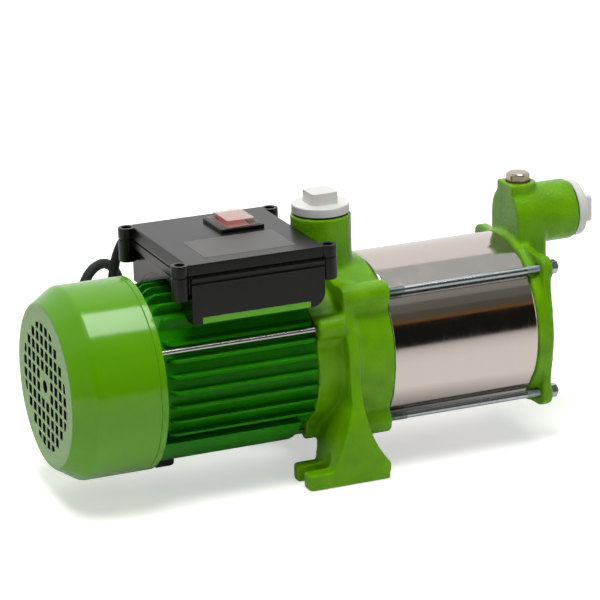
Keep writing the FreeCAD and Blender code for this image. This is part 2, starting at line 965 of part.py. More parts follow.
def port_gasket():
    whole = Part.makeCylinder(plug_radius - 1.2, gasket_thickness)
    return whole.cut(Part.makeCylinder(port_bore, gasket_thickness))


def on_suction(shape):
    shape.translate(vector(neck_x, 0, neck_top))
    return shape


def on_discharge(shape):
    shape.rotate(vector(0, 0, 0), vector(0, 1, 0), 90)
    shape.translate(vector(port_end, 0, port_z))
    return shape


def priming_plug():
    base = boss_top + hex_washer_thickness
    top = base + hex_height
    wide = hex_flats * 0.54
    head = hexagon(hex_flats, hex_height, vector(boss_x, 0, base), vector(0, 0, 1))
    trim = turned_up(boss_x, 0, (0, base), (wide, base), (wide, top - 1.4), (hex_flats * 0.44, top), (0, top))
    head = head.common(trim)
    shank_bottom = base - hex_washer_thickness - hex_thread_length
    return head.fuse(upright(boss_x, 0, shank_bottom, base, priming_bore - plug_gap))


def priming_washer():
    bottom = boss_top
    whole = upright(boss_x, 0, bottom, bottom + hex_washer_thickness, hex_flats * 0.58)
    return whole.cut(upright(boss_x, 0, bottom, bottom + hex_washer_thickness, priming_bore))


# Motor


def fin_plates():
    """Two sets of plates that the fins are cut from: level ones at the sides, upright ones on top."""
    half = fin_thickness / 2
    level = []
    top = int((side_fin_reach - fin_offset) / fin_pitch)
    bottom = -int(panel_edge_drop / fin_pitch)
    for step in range(bottom, top + 1):
        z = axis_height + fin_offset + step * fin_pitch
        level.append(block(motor_back, motor_front, -panel_radius, panel_radius, z - half, z + half))
    standing = []
    high = axis_height + panel_radius
    for step in range(int(top_fin_reach / fin_pitch + 0.5)):
        for side in (-1, 1):
            y = side * (step + 0.5) * fin_pitch
            standing.append(block(motor_back, motor_front, y - half, y + half, axis_height, high))
    return level, standing


def motor_frame():
    """Cast shell with its cooling fins, a plain lower panel and the pad under the terminal box."""
    root = frame_root
    shell = disc(motor_back, motor_front, root)
    fin_back = motor_back + fin_back_gap
    envelope = turned(
        (fin_back - 2, 0),
        (fin_back - 2, fin_tip_radius - fin_end_round),
        ((fin_back, fin_tip_radius - fin_end_round * 0.4), (fin_back + fin_end_round, fin_tip_radius)),
        (motor_front - fin_end_round, fin_tip_radius),
        ((motor_front - fin_end_round * 0.3, fin_tip_radius - fin_end_round * 0.3), (motor_front, root)),
        (motor_front, 0),
    )
    fins = [envelope.common(Part.makeCompound(plates)) for plates in fin_plates()]
    below = block(motor_back, motor_front, -panel_radius, panel_radius, 0, axis_height - panel_edge_drop)
    panel = disc(motor_back + 1, motor_front - panel_front_gap, panel_radius).common(below)
    back_ring = disc(motor_back, motor_back + frame_ring_length, fin_tip_radius)
    half_length = frame_pad_length / 2
    half_width = frame_pad_width / 2
    pad = block(box_middle - half_length, box_middle + half_length, -half_width, half_width,
                axis_height, axis_height + saddle_radius)
    pad = pad.common(disc(motor_back, motor_front, saddle_radius))
    frame = joined(shell, fins + [panel, back_ring, pad])
    holes = [disc(motor_back, motor_front, frame_bore)]
    for y, z in motor_rod_places():
        holes.append(disc(motor_back, motor_front, motor_rod_radius + 0.5, y, z))
    return frame.cut(holes)


def rear_endshield():
    """Rear shield: the rear bearing's hub, a dished web and the rim that the fan cover sits on."""
    back = shield_back
    hub = bearing_radius + bearing_hub_wall
    shield = turned(
        (motor_back, 0),
        (motor_back, shield_radius),
        (back, shield_radius),
        (back, low_rod_circle - rod_head_radius - 0.6),
        (back + shield_web_depth, frame_bore - 2),
        (back + shield_web_depth, hub + 5),
        (back - 1.5, hub),
        (back - 1.5, 0),
    )
    register = ring(motor_back, motor_back + 4, frame_bore, frame_bore - 4)
    shield = shield.fuse(register)
    holes = [disc(rear_bearing_back, motor_back, bearing_radius)]
    holes.append(disc(back - 2, motor_back, bearing_seat_radius + 3))
    for y, z in motor_rod_places():
        holes.append(disc(back - 1, motor_back, motor_rod_radius, y, z))
    return shield.cut(holes)


def motor_tie_rods():
    back = shield_back
    rods = []
    for y, z in motor_rod_places():
        rod = disc(back, rib_back - 3, motor_rod_radius, y, z)
        rods.append(rod.fuse(disc(back - rod_head_length, back, rod_head_radius, y, z)))
    return Part.makeCompound(rods)


def rear_bumper():
    """Rubber block under the back end of the motor, shaped to the panel above it."""
    bottom = axis_height - panel_radius - bumper_drop
    half = bumper_width / 2
    top = axis_height - panel_radius + 4
    solid = block(bumper_back, bumper_back + bumper_length, -half, half, bottom, top)
    low = [edge for edge in solid.Edges if edge.BoundBox.ZMax < bottom + 0.1]
    solid = solid.makeFillet(4.0, low)
    return solid.cut(disc(motor_back, motor_front, panel_radius))


def stator_core():
    return ring(core_back, core_front, frame_bore, rotor_radius + air_gap)


def stator_windings():
    """Two end turns of the winding, one on each face of the core."""
    inner = rotor_radius + air_gap + 2
    ends = []
    for back, sign in ((core_back, -1), (core_front, 1)):
        far = back + sign * winding_length
        bulge = back + sign * winding_length * 0.55
        ends.append(turned((back, inner), (back, inner + winding_wall), (bulge, inner + winding_wall + 2),
                           ((far - sign, inner + winding_wall), (far, inner + winding_wall / 2)),
                           (far, inner + 2)))
    return Part.makeCompound(ends)


def rotor_core():
    """Laminated core on the shaft with its two cast end rings."""
    core = disc(core_back, core_front, rotor_radius)
    rings = [ring(core_back - 6, core_back, rotor_radius - 1, rotor_radius - 10),
             ring(core_front, core_front + 6, rotor_radius - 1, rotor_radius - 10)]
    return core.fuse(rings).cut(disc(core_back - 7, core_front + 7, shaft_core_radius))


def shaft():
    """One shaft from the fan to the last impeller, stepped at each seat."""
    fan_end = fan_hub_back - 4
    core_seat_back = motor_back + 3
    core_seat_front = front_bearing_back - 2
    stack_nut = last_hub_front()
    return turned(
        (fan_end, 0),
        (fan_end, fan_seat_radius),
        (fan_hub_back - clip_thickness, fan_seat_radius),
        (fan_hub_back - clip_thickness, fan_seat_radius - clip_depth),
        (fan_hub_back, fan_seat_radius - clip_depth),
        (fan_hub_back, fan_seat_radius),
        (rear_bearing_back - 6, fan_seat_radius),
        (rear_bearing_back - 6, bearing_seat_radius),
        (core_seat_back - 3, bearing_seat_radius),
        (core_seat_back - 3, shaft_core_radius),
        (core_seat_front + 2, shaft_core_radius),
        (core_seat_front + 2, bearing_seat_radius),
        (front_bearing_front, bearing_seat_radius),
        (front_bearing_front, seal_seat_radius),
        (seal_end(), seal_seat_radius),
        (seal_end(), stage_seat_radius),
        (stack_nut, stage_seat_radius),
        (stack_nut, shaft_thread_radius),
        (stack_nut + impeller_nut_height + 2, shaft_thread_radius),
        (stack_nut + impeller_nut_height + 2, 0),
    )


def bearing_outer(back):
    """Outer ring of a sealed ball bearing with the shields that close its two sides."""
    front = back + bearing_width
    inner = bearing_seat_radius + bearing_ring_wall + running_gap
    outer = bearing_radius - bearing_ring_wall
    return turned((back, inner), (back, bearing_radius), (front, bearing_radius), (front, inner),
                  (front - 1.2, inner), (front - 1.2, outer), (back + 1.2, outer), (back + 1.2, inner))


def bearing_inner(back):
    return ring(back, back + bearing_width, bearing_seat_radius + bearing_ring_wall, bearing_seat_radius)


def fan():
    """Cooling fan: a hub, a back disc and straight blades that work in either direction."""
    hub = disc(fan_hub_back, rear_bearing_back - 6, fan_hub_radius)
    plate = ring(fan_disc_front - fan_disc_thickness, fan_disc_front, fan_radius, fan_hub_radius - 1)
    blade = face_of(
        lambda x, r: vector(x, -fan_blade_thickness / 2, axis_height + r),
        (fan_disc_front - fan_disc_thickness, fan_hub_radius - 1),
        (fan_back + 14, fan_hub_radius - 1),
        (fan_back + 10, fan_hub_radius + 8),
        (fan_back + 6, fan_radius - 8),
        (fan_back + 10, fan_radius),
        (fan_disc_front - fan_disc_thickness, fan_radius),
    ).extrude(vector(0, fan_blade_thickness, 0))
    body = joined(hub, [plate] + fanned(blade, fan_blade_count))
    return body.cut(disc(fan_back, rear_bearing_back, fan_seat_radius))


def fan_clip():
    back = fan_hub_back - clip_thickness
    return ring(back, fan_hub_back, fan_seat_radius + 2.6, fan_seat_radius - clip_depth)


def fan_cover():
    """Deep round cover: sloping shoulder, a lip with a seam at the front and a slotted back face."""
    t = cover_wall
    seam = cover_front - cover_seam_back
    inside = cover_radius - t
    lean = math.atan2(cover_rise, cover_shoulder)
    hub = (cover_back, 0)
    edge = (cover_back, cover_face_radius)
    shoulder = (cover_back + cover_shoulder, cover_radius)
    lip = (cover_front, cover_radius)
    lip_inside = (cover_front, inside)
    shoulder_inside = (shoulder[0] + t * math.tan(lean / 2), inside)
    edge_inside = (cover_back + t, cover_face_radius - t * math.tan(math.pi / 4 - lean / 2))
    hub_inside = (cover_back + t, 0)
    shell = turned(
        hub,
        *rounded(hub, edge, shoulder, cover_edge_round),
        *rounded(edge, shoulder, lip, cover_corner_round),
        (seam - 0.8, cover_radius),
        (seam - 0.8, cover_radius - cover_seam_depth),
        (seam, cover_radius - cover_seam_depth),
        (seam, cover_radius),
        lip,
        lip_inside,
        *rounded(lip_inside, shoulder_inside, edge_inside, cover_corner_round - t),
        *rounded(shoulder_inside, edge_inside, hub_inside, cover_edge_round - t),
        hub_inside,
    )
    return shell.cut(grille_slots())


def grille_slots():
    """Square slots on an even grid inside a round field, and the round hole in the middle."""
    reach = int(slot_field_radius / slot_pitch) + 1
    field = disc(cover_back - 1, cover_back + cover_wall + 1, slot_field_radius)
    slots = []
    for row in range(-reach, reach):
        for column in range(-reach, reach):
            y = (column + 0.5) * slot_pitch
            z = (row + 0.5) * slot_pitch
            in_field = math.hypot(y, z) < slot_field_radius
            near_hole = math.hypot(y, z) < slot_pitch
            if in_field and not near_hole:
                low = axis_height + z - slot_height / 2
                slot = block(cover_back - 1, cover_back + cover_wall + 1,
                             y - slot_width / 2, y + slot_width / 2, low, low + slot_height)
                over = math.hypot(abs(y) + slot_width / 2, abs(z) + slot_height / 2) > slot_field_radius
                slots.append(slot.common(field) if over else slot)
    pattern = Part.makeCompound(slots)
    pattern.rotate(vector(0, 0, axis_height), vector(1, 0, 0), grille_tilt)
    hole = disc(cover_back - 1, cover_back + cover_wall + 1, cover_hole_radius)
    return [pattern, hole]


# Terminal box


def screw_places():
    places = []
    for x in (box_middle - screw_span_x / 2, box_middle + screw_span_x / 2):
        for y in (-screw_span_y / 2, screw_span_y / 2):
            places.append((x, y))
    return places


def end_flare(*points):
    """Band along the back end of the box from an outline of (x, z) points."""
    half = box_half_width - 1
    return face_of(lambda x, z: vector(x, -half, z), *points).extrude(vector(0, 2 * half, 0))


def terminal_box():
    """Box body that straddles the motor: a tray under the lid, two side skirts and corner pillars."""
    back = box_middle - box_length / 2
    front = box_middle + box_length / 2
    skirt_back = back + skirt_back_inset
    skirt_front = front - skirt_front_inset
    top = box_split - lid_gasket_thickness
    along = vector(0, 1, 0)
    skirt = block(skirt_back, skirt_front, -skirt_half_width, skirt_half_width, box_bottom, top)
    corners = [edge for edge in edges_along(skirt, along) if edge.BoundBox.ZMax < box_bottom + 1]
    skirt = skirt.makeFillet(box_corner, [edge for edge in corners if edge.BoundBox.XMin > box_middle])
    tray = rounded_block(back, front, -box_half_width, box_half_width, tray_bottom, top, 3.0)
    pillars = [upright(x, y, top - ear_height, top, ear_radius) for x, y in screw_places()]
    ridges = []
    for z in (top - ridge_height, (top + tray_bottom) / 2):
        out = skirt_half_width + ridge_depth
        ridges.append(block(skirt_back, skirt_front, -out, out, z, z + ridge_height))
    flare = end_flare(
        (back + 1, top),
        (back - flare_reach, top),
        (back - flare_reach, box_split - flare_low),
        (back, box_split - flare_low - flare_reach),
        (back + 1, box_split - flare_low - flare_reach),
    )
    body = joined(skirt, [tray, flare] + pillars + ridges)
    inside = block(skirt_back + box_wall, skirt_front - box_wall, box_wall - skirt_half_width,
                   skirt_half_width - box_wall, box_bottom + box_wall, top)
    inside = inside.fuse(block(back + box_wall, front - box_wall, box_wall - box_half_width,
                               box_half_width - box_wall, tray_bottom + box_wall, top))
    inside = inside.cut(disc(back, front, saddle_radius + box_wall))
    inside = inside.cut([upright(x, y, box_bottom, top, ear_radius) for x, y in screw_places()])
    holes = [inside, disc(back - 1, front + 1, saddle_radius)]
    wall_inside = vector(gland_x, skirt_half_width - box_wall * 3, gland_z)
    holes.append(Part.makeCylinder(gland_radius, box_wall * 4, wall_inside, vector(0, 1, 0)))
    wall_outside = vector(gland_x, skirt_half_width, gland_z)
    flat_radius = gland_flats / math.sqrt(3) + 1
    holes.append(Part.makeCylinder(flat_radius, 2 * ridge_depth, wall_outside, vector(0, 1, 0)))
    for x, y in screw_places():
        holes.append(upright(x, y, box_split - screw_length + ear_recess_depth, top, screw_radius))
    return body.cut(holes)


def lid_outline(bottom, top, inset=0.0):
    back = box_middle - box_length / 2 + inset
    front = box_middle + box_length / 2 - inset
    half = box_half_width - inset
    plate = rounded_block(back, front, -half, half, bottom, top, 3.0)
    ears = [upright(x, y, bottom, top, ear_radius - inset) for x, y in screw_places()]
    return joined(plate, ears)


def terminal_lid():
    end = box_middle - box_length / 2
    flare = end_flare(
        (end + 1, lid_top),
        (end, lid_top),
        (end - flare_reach, lid_top - flare_drop),
        (end - flare_reach, box_split),
        (end + 1, box_split),
    )
    lid = joined(lid_outline(box_split, lid_top), [flare])
    back = end + box_wall
    front = box_middle + box_length / 2 - box_wall
    half = box_half_width - box_wall
    inside = block(back, front, -half, half, box_split, lid_top - box_wall)
    ears = [upright(x, y, box_split, lid_top, ear_radius) for x, y in screw_places()]
    holes = [inside.cut(ears)]
    for x, y in screw_places():
        holes.append(upright(x, y, box_split, lid_top, screw_radius))
        holes.append(upright(x, y, lid_top - ear_recess_depth, lid_top, ear_recess_radius))
    half_x = bezel_length / 2 - bezel_rim + 1
    half_y = bezel_width / 2 - bezel_rim + 1
    holes.append(block(switch_x - half_x, switch_x + half_x, switch_y - half_y, switch_y + half_y,
                       lid_top - box_wall - 1, lid_top))
    return lid.cut(holes)


def lid_gasket():
    low = box_split - lid_gasket_thickness
    whole = lid_outline(low, box_split, 0.6)
    back = box_middle - box_length / 2 + box_wall
    front = box_middle + box_length / 2 - box_wall
    half = box_half_width - box_wall
    inside = block(back, front, -half, half, low, box_split)
    keep = [upright(x, y, box_split - 1, box_split, ear_radius) for x, y in screw_places()]
    holes = [inside.cut(keep)]
    holes += [upright(x, y, low, box_split, screw_radius) for x, y in screw_places()]
    return whole.cut(holes)


def lid_screws():
    screws = []
    seat = lid_top - ear_recess_depth
    for x, y in screw_places():
        shank = upright(x, y, box_split - screw_length + ear_recess_depth, seat, screw_radius)
        head = upright(x, y, seat, seat + screw_head_height, ear_recess_radius - moving_gap)
        screws.append(shank.fuse(head))
    return Part.makeCompound(screws)


# Switch


def switch_bezel():
    """Square frame on the lid with the switch's housing below it and the rocker's pivot pin."""
    half_x = bezel_length / 2
    half_y = bezel_width / 2
    rim = rounded_block(switch_x - half_x, switch_x + half_x, switch_y - half_y, switch_y + half_y,
                        lid_top, lid_top + bezel_height, 2.0)
    in_x = half_x - bezel_rim
    in_y = half_y - bezel_rim
    housing = block(switch_x - in_x, switch_x + in_x, switch_y - in_y, switch_y + in_y,
                    lid_top - switch_depth, lid_top)
    room_x = rocker_width / 2 + moving_gap
    room_y = rocker_length / 2 + 1.5
    room = block(switch_x - room_x, switch_x + room_x, switch_y - room_y, switch_y + room_y,
                 lid_top - 7, lid_top + bezel_height)
    pin_end = vector(switch_x - room_x, switch_y, rocker_axis_z())
    pin = Part.makeCylinder(rocker_pin_radius, 2 * room_x, pin_end, vector(1, 0, 0))
    return joined(rim, [housing]).cut(room).fuse(pin)


def rocker_axis_z():
    return lid_top - rocker_pin_drop


def switch_rocker():
    """Rocker that tips about its pin: at rest its near end is down."""
    half = rocker_length / 2
    axis_z = rocker_axis_z()
    face = face_of(
        lambda y, z: vector(switch_x - rocker_width / 2, switch_y + y, axis_z + z),
        (-half, -1.0),
        (-half, rocker_height),
        ((0, rocker_height - 1.6), (half, rocker_height)),
        (half, -1.0),
        ((0, -3.6), (-half, -1.0)),
    )
    solid = face.extrude(vector(rocker_width, 0, 0))
    pin_end = vector(switch_x - rocker_width / 2 - 1, switch_y, axis_z)
    pin = Part.makeCylinder(rocker_pin_radius + running_gap, rocker_width + 2, pin_end, vector(1, 0, 0))
    solid = solid.cut(pin)
    solid.rotate(vector(switch_x, switch_y, axis_z), vector(1, 0, 0), rocker_tilt)
    return solid


def switch_boot():
    """Clear splash cover over the rocker, a thin raised hood on the bezel."""
    base = lid_top + bezel_height
    half_x = bezel_length / 2 - 1.5
    half_y = bezel_width / 2 - 1.5
    hood_x = rocker_width / 2 + boot_clearance + boot_wall
    hood_y = rocker_length / 2 + boot_clearance + boot_wall + boot_end_room
    skirt = block(switch_x - half_x, switch_x + half_x, switch_y - half_y, switch_y + half_y,
                  base, base + boot_wall)
    hood = rounded_block(switch_x - hood_x, switch_x + hood_x, switch_y - hood_y, switch_y + hood_y,
                         base, base + boot_height, 2.0)
    in_x = hood_x - boot_wall
    in_y = hood_y - boot_wall
    inside = block(switch_x - in_x, switch_x + in_x, switch_y - in_y, switch_y + in_y,
                   base, base + boot_height - boot_wall)
    return joined(skirt, [hood]).cut(inside)


# Inside the terminal box


def saddle_seat(y, radius):
    """Height at which a round body of this radius rests on the box's curved floor."""
    floor = saddle_radius + box_wall
    return axis_height + math.sqrt((floor + radius) ** 2 - y ** 2)


def run_capacitor():
    z = saddle_seat(capacitor_y, capacitor_radius)
    back = capacitor_middle - capacitor_length / 2
    can = disc(back, back + capacitor_length, capacitor_radius, capacitor_y, z)
    can = can.makeFillet(1.5, [edge for edge in can.Edges if edge.BoundBox.XLength < 0.01])
    tabs = []
    for side in (-5, 5):
        tab_y = capacitor_y + side
        tabs.append(block(back - 6, back + 1, tab_y - 0.4, tab_y + 0.4, z - 3, z + 3))
    return can.fuse(tabs)


def terminal_block():
    half = block_length / 2
    deep = block_width / 2
    top = axis_height + saddle_radius + box_wall + block_height - 2
    low = axis_height + saddle_radius - 12
    solid = block(block_x - half, block_x + half, block_y - deep, block_y + deep, low, top)
    solid = solid.cut(disc(block_x - half, block_x + half, saddle_radius + box_wall))
    wells = []
    for step in range(4):
        wells.append(upright(block_x - half + block_length * (step + 0.5) / 4, block_y, top - 6, top, 2.2))
    return solid.cut(wells)


# Cord


def cable_gland():
    """Screwed cord entry: hexagon against the wall, domed cap and the thread inside the box."""
    y = skirt_half_width
    thread_end = y - box_wall - gland_nut_length - 1
    face = face_of(
        lambda r, across: vector(gland_x + r, across, gland_z),
        (cord_radius, thread_end),
        (gland_radius, thread_end),
        (gland_radius, y),
        (gland_radius + 1.6, y),
        (gland_radius + 1.6, y + gland_length - 9),
        ((gland_radius + 0.4, y + gland_length - 3), (cord_radius + 1.6, y + gland_length)),
        (0, y + gland_length),
        (0, y + gland_length - 8),
        (cord_radius, y + gland_length - 8),
    )
    barrel = face.revolve(vector(gland_x, y, gland_z), vector(0, 1, 0), 360)
    collar = hexagon(gland_flats, gland_hex_length, vector(gland_x, y, gland_z), vector(0, 1, 0))
    bore = Part.makeCylinder(cord_radius, gland_length - 8, vector(gland_x, y, gland_z), vector(0, 1, 0))
    return barrel.fuse(collar.cut(bore))


def gland_nut():
    y = skirt_half_width - box_wall - gland_nut_length
    nut = hexagon(gland_flats, gland_nut_length, vector(gland_x, y, gland_z), vector(0, 1, 0))
    hole = Part.makeCylinder(gland_radius, gland_nut_length, vector(gland_x, y, gland_z), vector(0, 1, 0))
    return nut.cut(hole)


def bends(points):
    """Straight runs joined by tangent arcs: the edges, the arcs' radii and the whole length."""
    here = vector(*points[0])
    edges = []
    radii = []
    for before, corner, after in zip(points, points[1:], points[2:]):
        corner = vector(*corner)
        back = vector(*before) - corner
        on = vector(*after) - corner
        half_turn = (math.pi - back.getAngle(on)) / 2
        cut = 0.45 * min(back.Length, on.Length)
        radii.append(cut / math.tan(half_turn))
        start = corner + back.normalize() * cut
        end = corner + on.normalize() * cut
        bisector = (back + on).normalize()
        middle = corner + bisector * (radii[-1] * (1 / math.cos(half_turn) - 1))
        edges.append(Part.LineSegment(here, start).toShape())
        edges.append(Part.Arc(start, middle, end).toShape())
        here = end
    edges.append(Part.LineSegment(here, vector(*points[-1])).toShape())
    return edges, radii, sum(edge.Length for edge in edges)


def tube(points, label):
    """Round cord along a route, with its bends' radii printed."""
    edges, radii, length = bends(points)
    path = Part.Wire(edges)
    start = vector(*points[0])
    heading = vector(*points[1]) - start
    section = Part.Wire([Part.Circle(start, heading, cord_radius).toShape()])
    solid = path.makePipeShell([section], True, False)
    share = solid.Volume / (math.pi * cord_radius ** 2 * length)
    print(label, "length", round(length), "volume share", round(share, 4), "radii", [round(r) for r in radii])
    return solid


def supply_cord():
    return tube(cord_points, "cord")


def cord_coil():
    """Outer shape of the coiled length, with the two straight ends that lead in and out of it."""
    middle = vector(coil_x, coil_y, 0)
    outer = Part.makeCylinder(coil_radius + coil_half_width, coil_height, middle)
    inner = Part.makeCylinder(coil_radius - coil_half_width, coil_height, middle)
    way_in = vector(coil_entry_x, coil_entry_y, cord_level)
    lead_in = Part.makeCylinder(cord_radius, coil_stub, way_in, vector(1, 0, 0))
    way_out = vector(coil_x + coil_lead_radius, coil_y, cord_level)
    lead_out = Part.makeCylinder(cord_radius, coil_stub, way_out, vector(0, -1, 0))
    return outer.cut(inner).fuse([lead_in, lead_out])


def cord_tail():
    """Last stretch, from the coil up to the middle of the plug's grip."""
    x = coil_x + coil_lead_radius
    y = coil_y - coil_stub
    end_y = y - tail_reach
    flat = [(x, y, cord_level), (x, y - 22, cord_level)]
    raised = [(x + 1, y - 46, mains_level), (x + 1, end_y, mains_level)]
    return tube(flat + raised, "tail")


def mains_plug():
    """Round moulded plug: slim grip, flared body and a flat pin face."""
    x = coil_x + coil_lead_radius + 1
    y = coil_y - coil_stub - tail_reach
    z = mains_level
    face = face_of(
        lambda r, along: vector(x + r, y - along, z),
        (0, 0),
        (mains_grip_radius, 0),
        (mains_grip_radius + 1, 8),
        ((mains_body_radius * 0.62, 18), (mains_body_radius, 26)),
        (mains_body_radius, mains_body_length),
        (0, mains_body_length),
    )
    return face.revolve(vector(x, y, z), vector(0, 1, 0), 360)


def plug_pins():
    x = coil_x + coil_lead_radius + 1
    y = coil_y - coil_stub - tail_reach - mains_body_length
    z = mains_level
    pins = []
    for side in (-mains_pin_span / 2, mains_pin_span / 2):
        pin = Part.makeCylinder(mains_pin_radius, mains_pin_length, vector(x + side, y, z), vector(0, -1, 0))
        tip = [edge for edge in pin.Edges if edge.BoundBox.YMax < y - mains_pin_length + 0.1]
        pins.append(pin.makeFillet(mains_pin_radius * 0.6, tip))
    return Part.makeCompound(pins)


def all_parts():
    return {
        "pump_body": pump_body(),
        "outer_sleeve": outer_sleeve(),
        "sleeve_o_rings": sleeve_o_rings(),
        "stage_casings": repeated(stage_casing(), stage_count, stage_pitch),
        "impellers": repeated(impeller(), stage_count, stage_pitch),
        "impeller_spacers": impeller_spacers(),
        "impeller_nut": impeller_nut(),
        "seal_seat": seal_seat(),
        "seal_rotor": seal_rotor(),
        "pump_head": pump_head(),
        "pump_tie_rods": pump_tie_rods(),
        "pump_tie_nuts": pump_tie_nuts(),
        "pump_tie_washers": pump_tie_washers(),
        "suction_plug": on_suction(port_plug()),
        "suction_gasket": on_suction(port_gasket()),
        "discharge_plug": on_discharge(port_plug()),
        "discharge_gasket": on_discharge(port_gasket()),
        "priming_plug": priming_plug(),
        "priming_washer": priming_washer(),
        "motor_frame": motor_frame(),
        "rear_endshield": rear_endshield(),
        "motor_tie_rods": motor_tie_rods(),
        "rear_bumper": rear_bumper(),
        "stator_core": stator_core(),
        "stator_windings": stator_windings(),
        "rotor_core": rotor_core(),
        "shaft": shaft(),
        "rear_bearing_outer": bearing_outer(rear_bearing_back),
        "rear_bearing_inner": bearing_inner(rear_bearing_back),
        "front_bearing_outer": bearing_outer(front_bearing_back),
        "front_bearing_inner": bearing_inner(front_bearing_back),
        "fan": fan(),
        "fan_clip": fan_clip(),
        "fan_cover": fan_cover(),
        "terminal_box": terminal_box(),
        "terminal_lid": terminal_lid(),
        "lid_gasket": lid_gasket(),
        "lid_screws": lid_screws(),
        "switch_bezel": switch_bezel(),
        "switch_rocker": switch_rocker(),
        "switch_boot": switch_boot(),
        "run_capacitor": run_capacitor(),
        "terminal_block": terminal_block(),
        "cable_gland": cable_gland(),
        "gland_nut": gland_nut(),
        "supply_cord": supply_cord(),
        "cord_coil": cord_coil(),
        "cord_tail": cord_tail(),
        "mains_plug": mains_plug(),
        "plug_pins": plug_pins(),
    }


def main():
    os.makedirs("parts", exist_ok=True)
    for name, shape in all_parts().items():
        shape.exportStep("parts/" + name + ".step")
        box = shape.BoundBox
        corners = (box.XMin, box.XMax, box.YMin, box.YMax, box.ZMin, box.ZMax)
        print(name, "solids", len(shape.Solids), "valid", shape.isValid(),
              "cm3", round(shape.Volume / 1000, 2), [round(v, 1) for v in corners])


main()
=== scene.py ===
"""Looks of the self-priming multistage pump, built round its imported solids."""

import logging
import math
from collections.abc import Callable, Iterator, Sequence
from contextlib import contextmanager
from dataclasses import dataclass, field
from enum import Enum

import bmesh
import bpy
from mathutils import Matrix, Vector


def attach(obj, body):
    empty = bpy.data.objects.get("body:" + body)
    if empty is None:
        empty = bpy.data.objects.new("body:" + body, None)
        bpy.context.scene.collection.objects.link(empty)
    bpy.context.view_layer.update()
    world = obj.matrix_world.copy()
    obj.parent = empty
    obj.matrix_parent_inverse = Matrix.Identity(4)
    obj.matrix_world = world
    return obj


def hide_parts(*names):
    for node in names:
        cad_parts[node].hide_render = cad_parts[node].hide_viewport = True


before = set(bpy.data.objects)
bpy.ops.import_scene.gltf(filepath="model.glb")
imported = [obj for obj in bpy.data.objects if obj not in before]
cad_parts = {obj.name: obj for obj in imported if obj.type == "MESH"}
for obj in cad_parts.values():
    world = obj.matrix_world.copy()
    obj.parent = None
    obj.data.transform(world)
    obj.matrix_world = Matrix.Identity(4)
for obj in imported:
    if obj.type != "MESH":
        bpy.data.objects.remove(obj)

log = logging.getLogger("pump")
MM = 0.001
SAME_POINT = 2e-6
FLAT_DEGREES = 0.4
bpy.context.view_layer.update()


class Body(Enum):
    """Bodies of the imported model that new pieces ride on."""

    HOUSING = "housing"
    ROCKER = "rocker"
    SUCTION_CAP = "suction_cap"
    DISCHARGE_CAP = "discharge_cap"
    PRIMING_CAP = "priming_cap"


class Axis(Enum):
    """Directions that a turned piece can have."""

    X = (1.0, 0.0, 0.0)
    Y = (0.0, 1.0, 0.0)
    Z = (0.0, 0.0, 1.0)


# Colours and shader nodes


def linear(code: str, alpha: float = 1.0) -> tuple[float, float, float, float]:
    """Turn an sRGB hex colour into linear values.

    Args:
        code: Six hex digits.
        alpha: Value of the fourth channel.

    Returns:
        Red, green, blue and alpha, linear.
    """
    parts = [int(code[i : i + 2], 16) / 255 for i in (0, 2, 4)]
    light = [p / 12.92 if p <= 0.04045 else ((p + 0.055) / 1.055) ** 2.4 for p in parts]
    return light[0], light[1], light[2], alpha


def per_metre(size_mm: float) -> float:
    """Give the pattern scale on Object coordinates at which one repeat has this size."""
    return 1000.0 / size_mm


def add_node(
    tree: bpy.types.NodeTree, kind: str, inputs: dict | None = None, **settings: object
) -> bpy.types.Node:
    """Add a node with its settings, its constants and its links.

    Args:
        tree: Node tree that gets the node.
        kind: Blender's name of the node type.
        inputs: Value or source socket for each input, by name or number.
        settings: Properties of the node.

    Returns:
        The new node.
    """
    node = tree.nodes.new(kind)
    for key, value in settings.items():
        setattr(node, key, value)
    for key, value in (inputs or {}).items():
        if isinstance(value, bpy.types.NodeSocket):
            tree.links.new(value, node.inputs[key])
        else:
            node.inputs[key].default_value = value
    return node


def empty_tree(holder: bpy.types.Material | bpy.types.World) -> bpy.types.NodeTree:
    """Turn on the nodes of a new material or world and clear them.

    Args:
        holder: The material or world.

    Returns:
        Its node tree, with no nodes.
    """
    holder.use_nodes = True
    holder.node_tree.nodes.clear()
    return holder.node_tree


@dataclass(frozen=True)
class Finish:
    """A material: the shader's constants, and the patterns that a kind of surface adds."""

    name: str
    colour: str
    roughness: float
    metallic: float = 0.0
    shine: float = 0.5

    def pattern(self, tree: bpy.types.NodeTree, shader: bpy.types.Node) -> None:
        """Add nothing: a plain surface has its constants alone."""

    def material(self) -> bpy.types.Material:
        """Build the material once and reuse it.

        Returns:
            The material with its node tree.
        """
        known = bpy.data.materials.get(self.name)
        if known:
            return known
        made = bpy.data.materials.new(self.name)
        tree = empty_tree(made)
        shader = add_node(
            tree,
            "ShaderNodeBsdfPrincipled",
            {
                "Base Color": linear(self.colour),
                "Roughness": self.roughness,
                "Metallic": self.metallic,
                "Specular IOR Level": self.shine,
            },
        )
        add_node(tree, "ShaderNodeOutputMaterial", {"Surface": shader.outputs["BSDF"]})
        self.pattern(tree, shader)
        return made


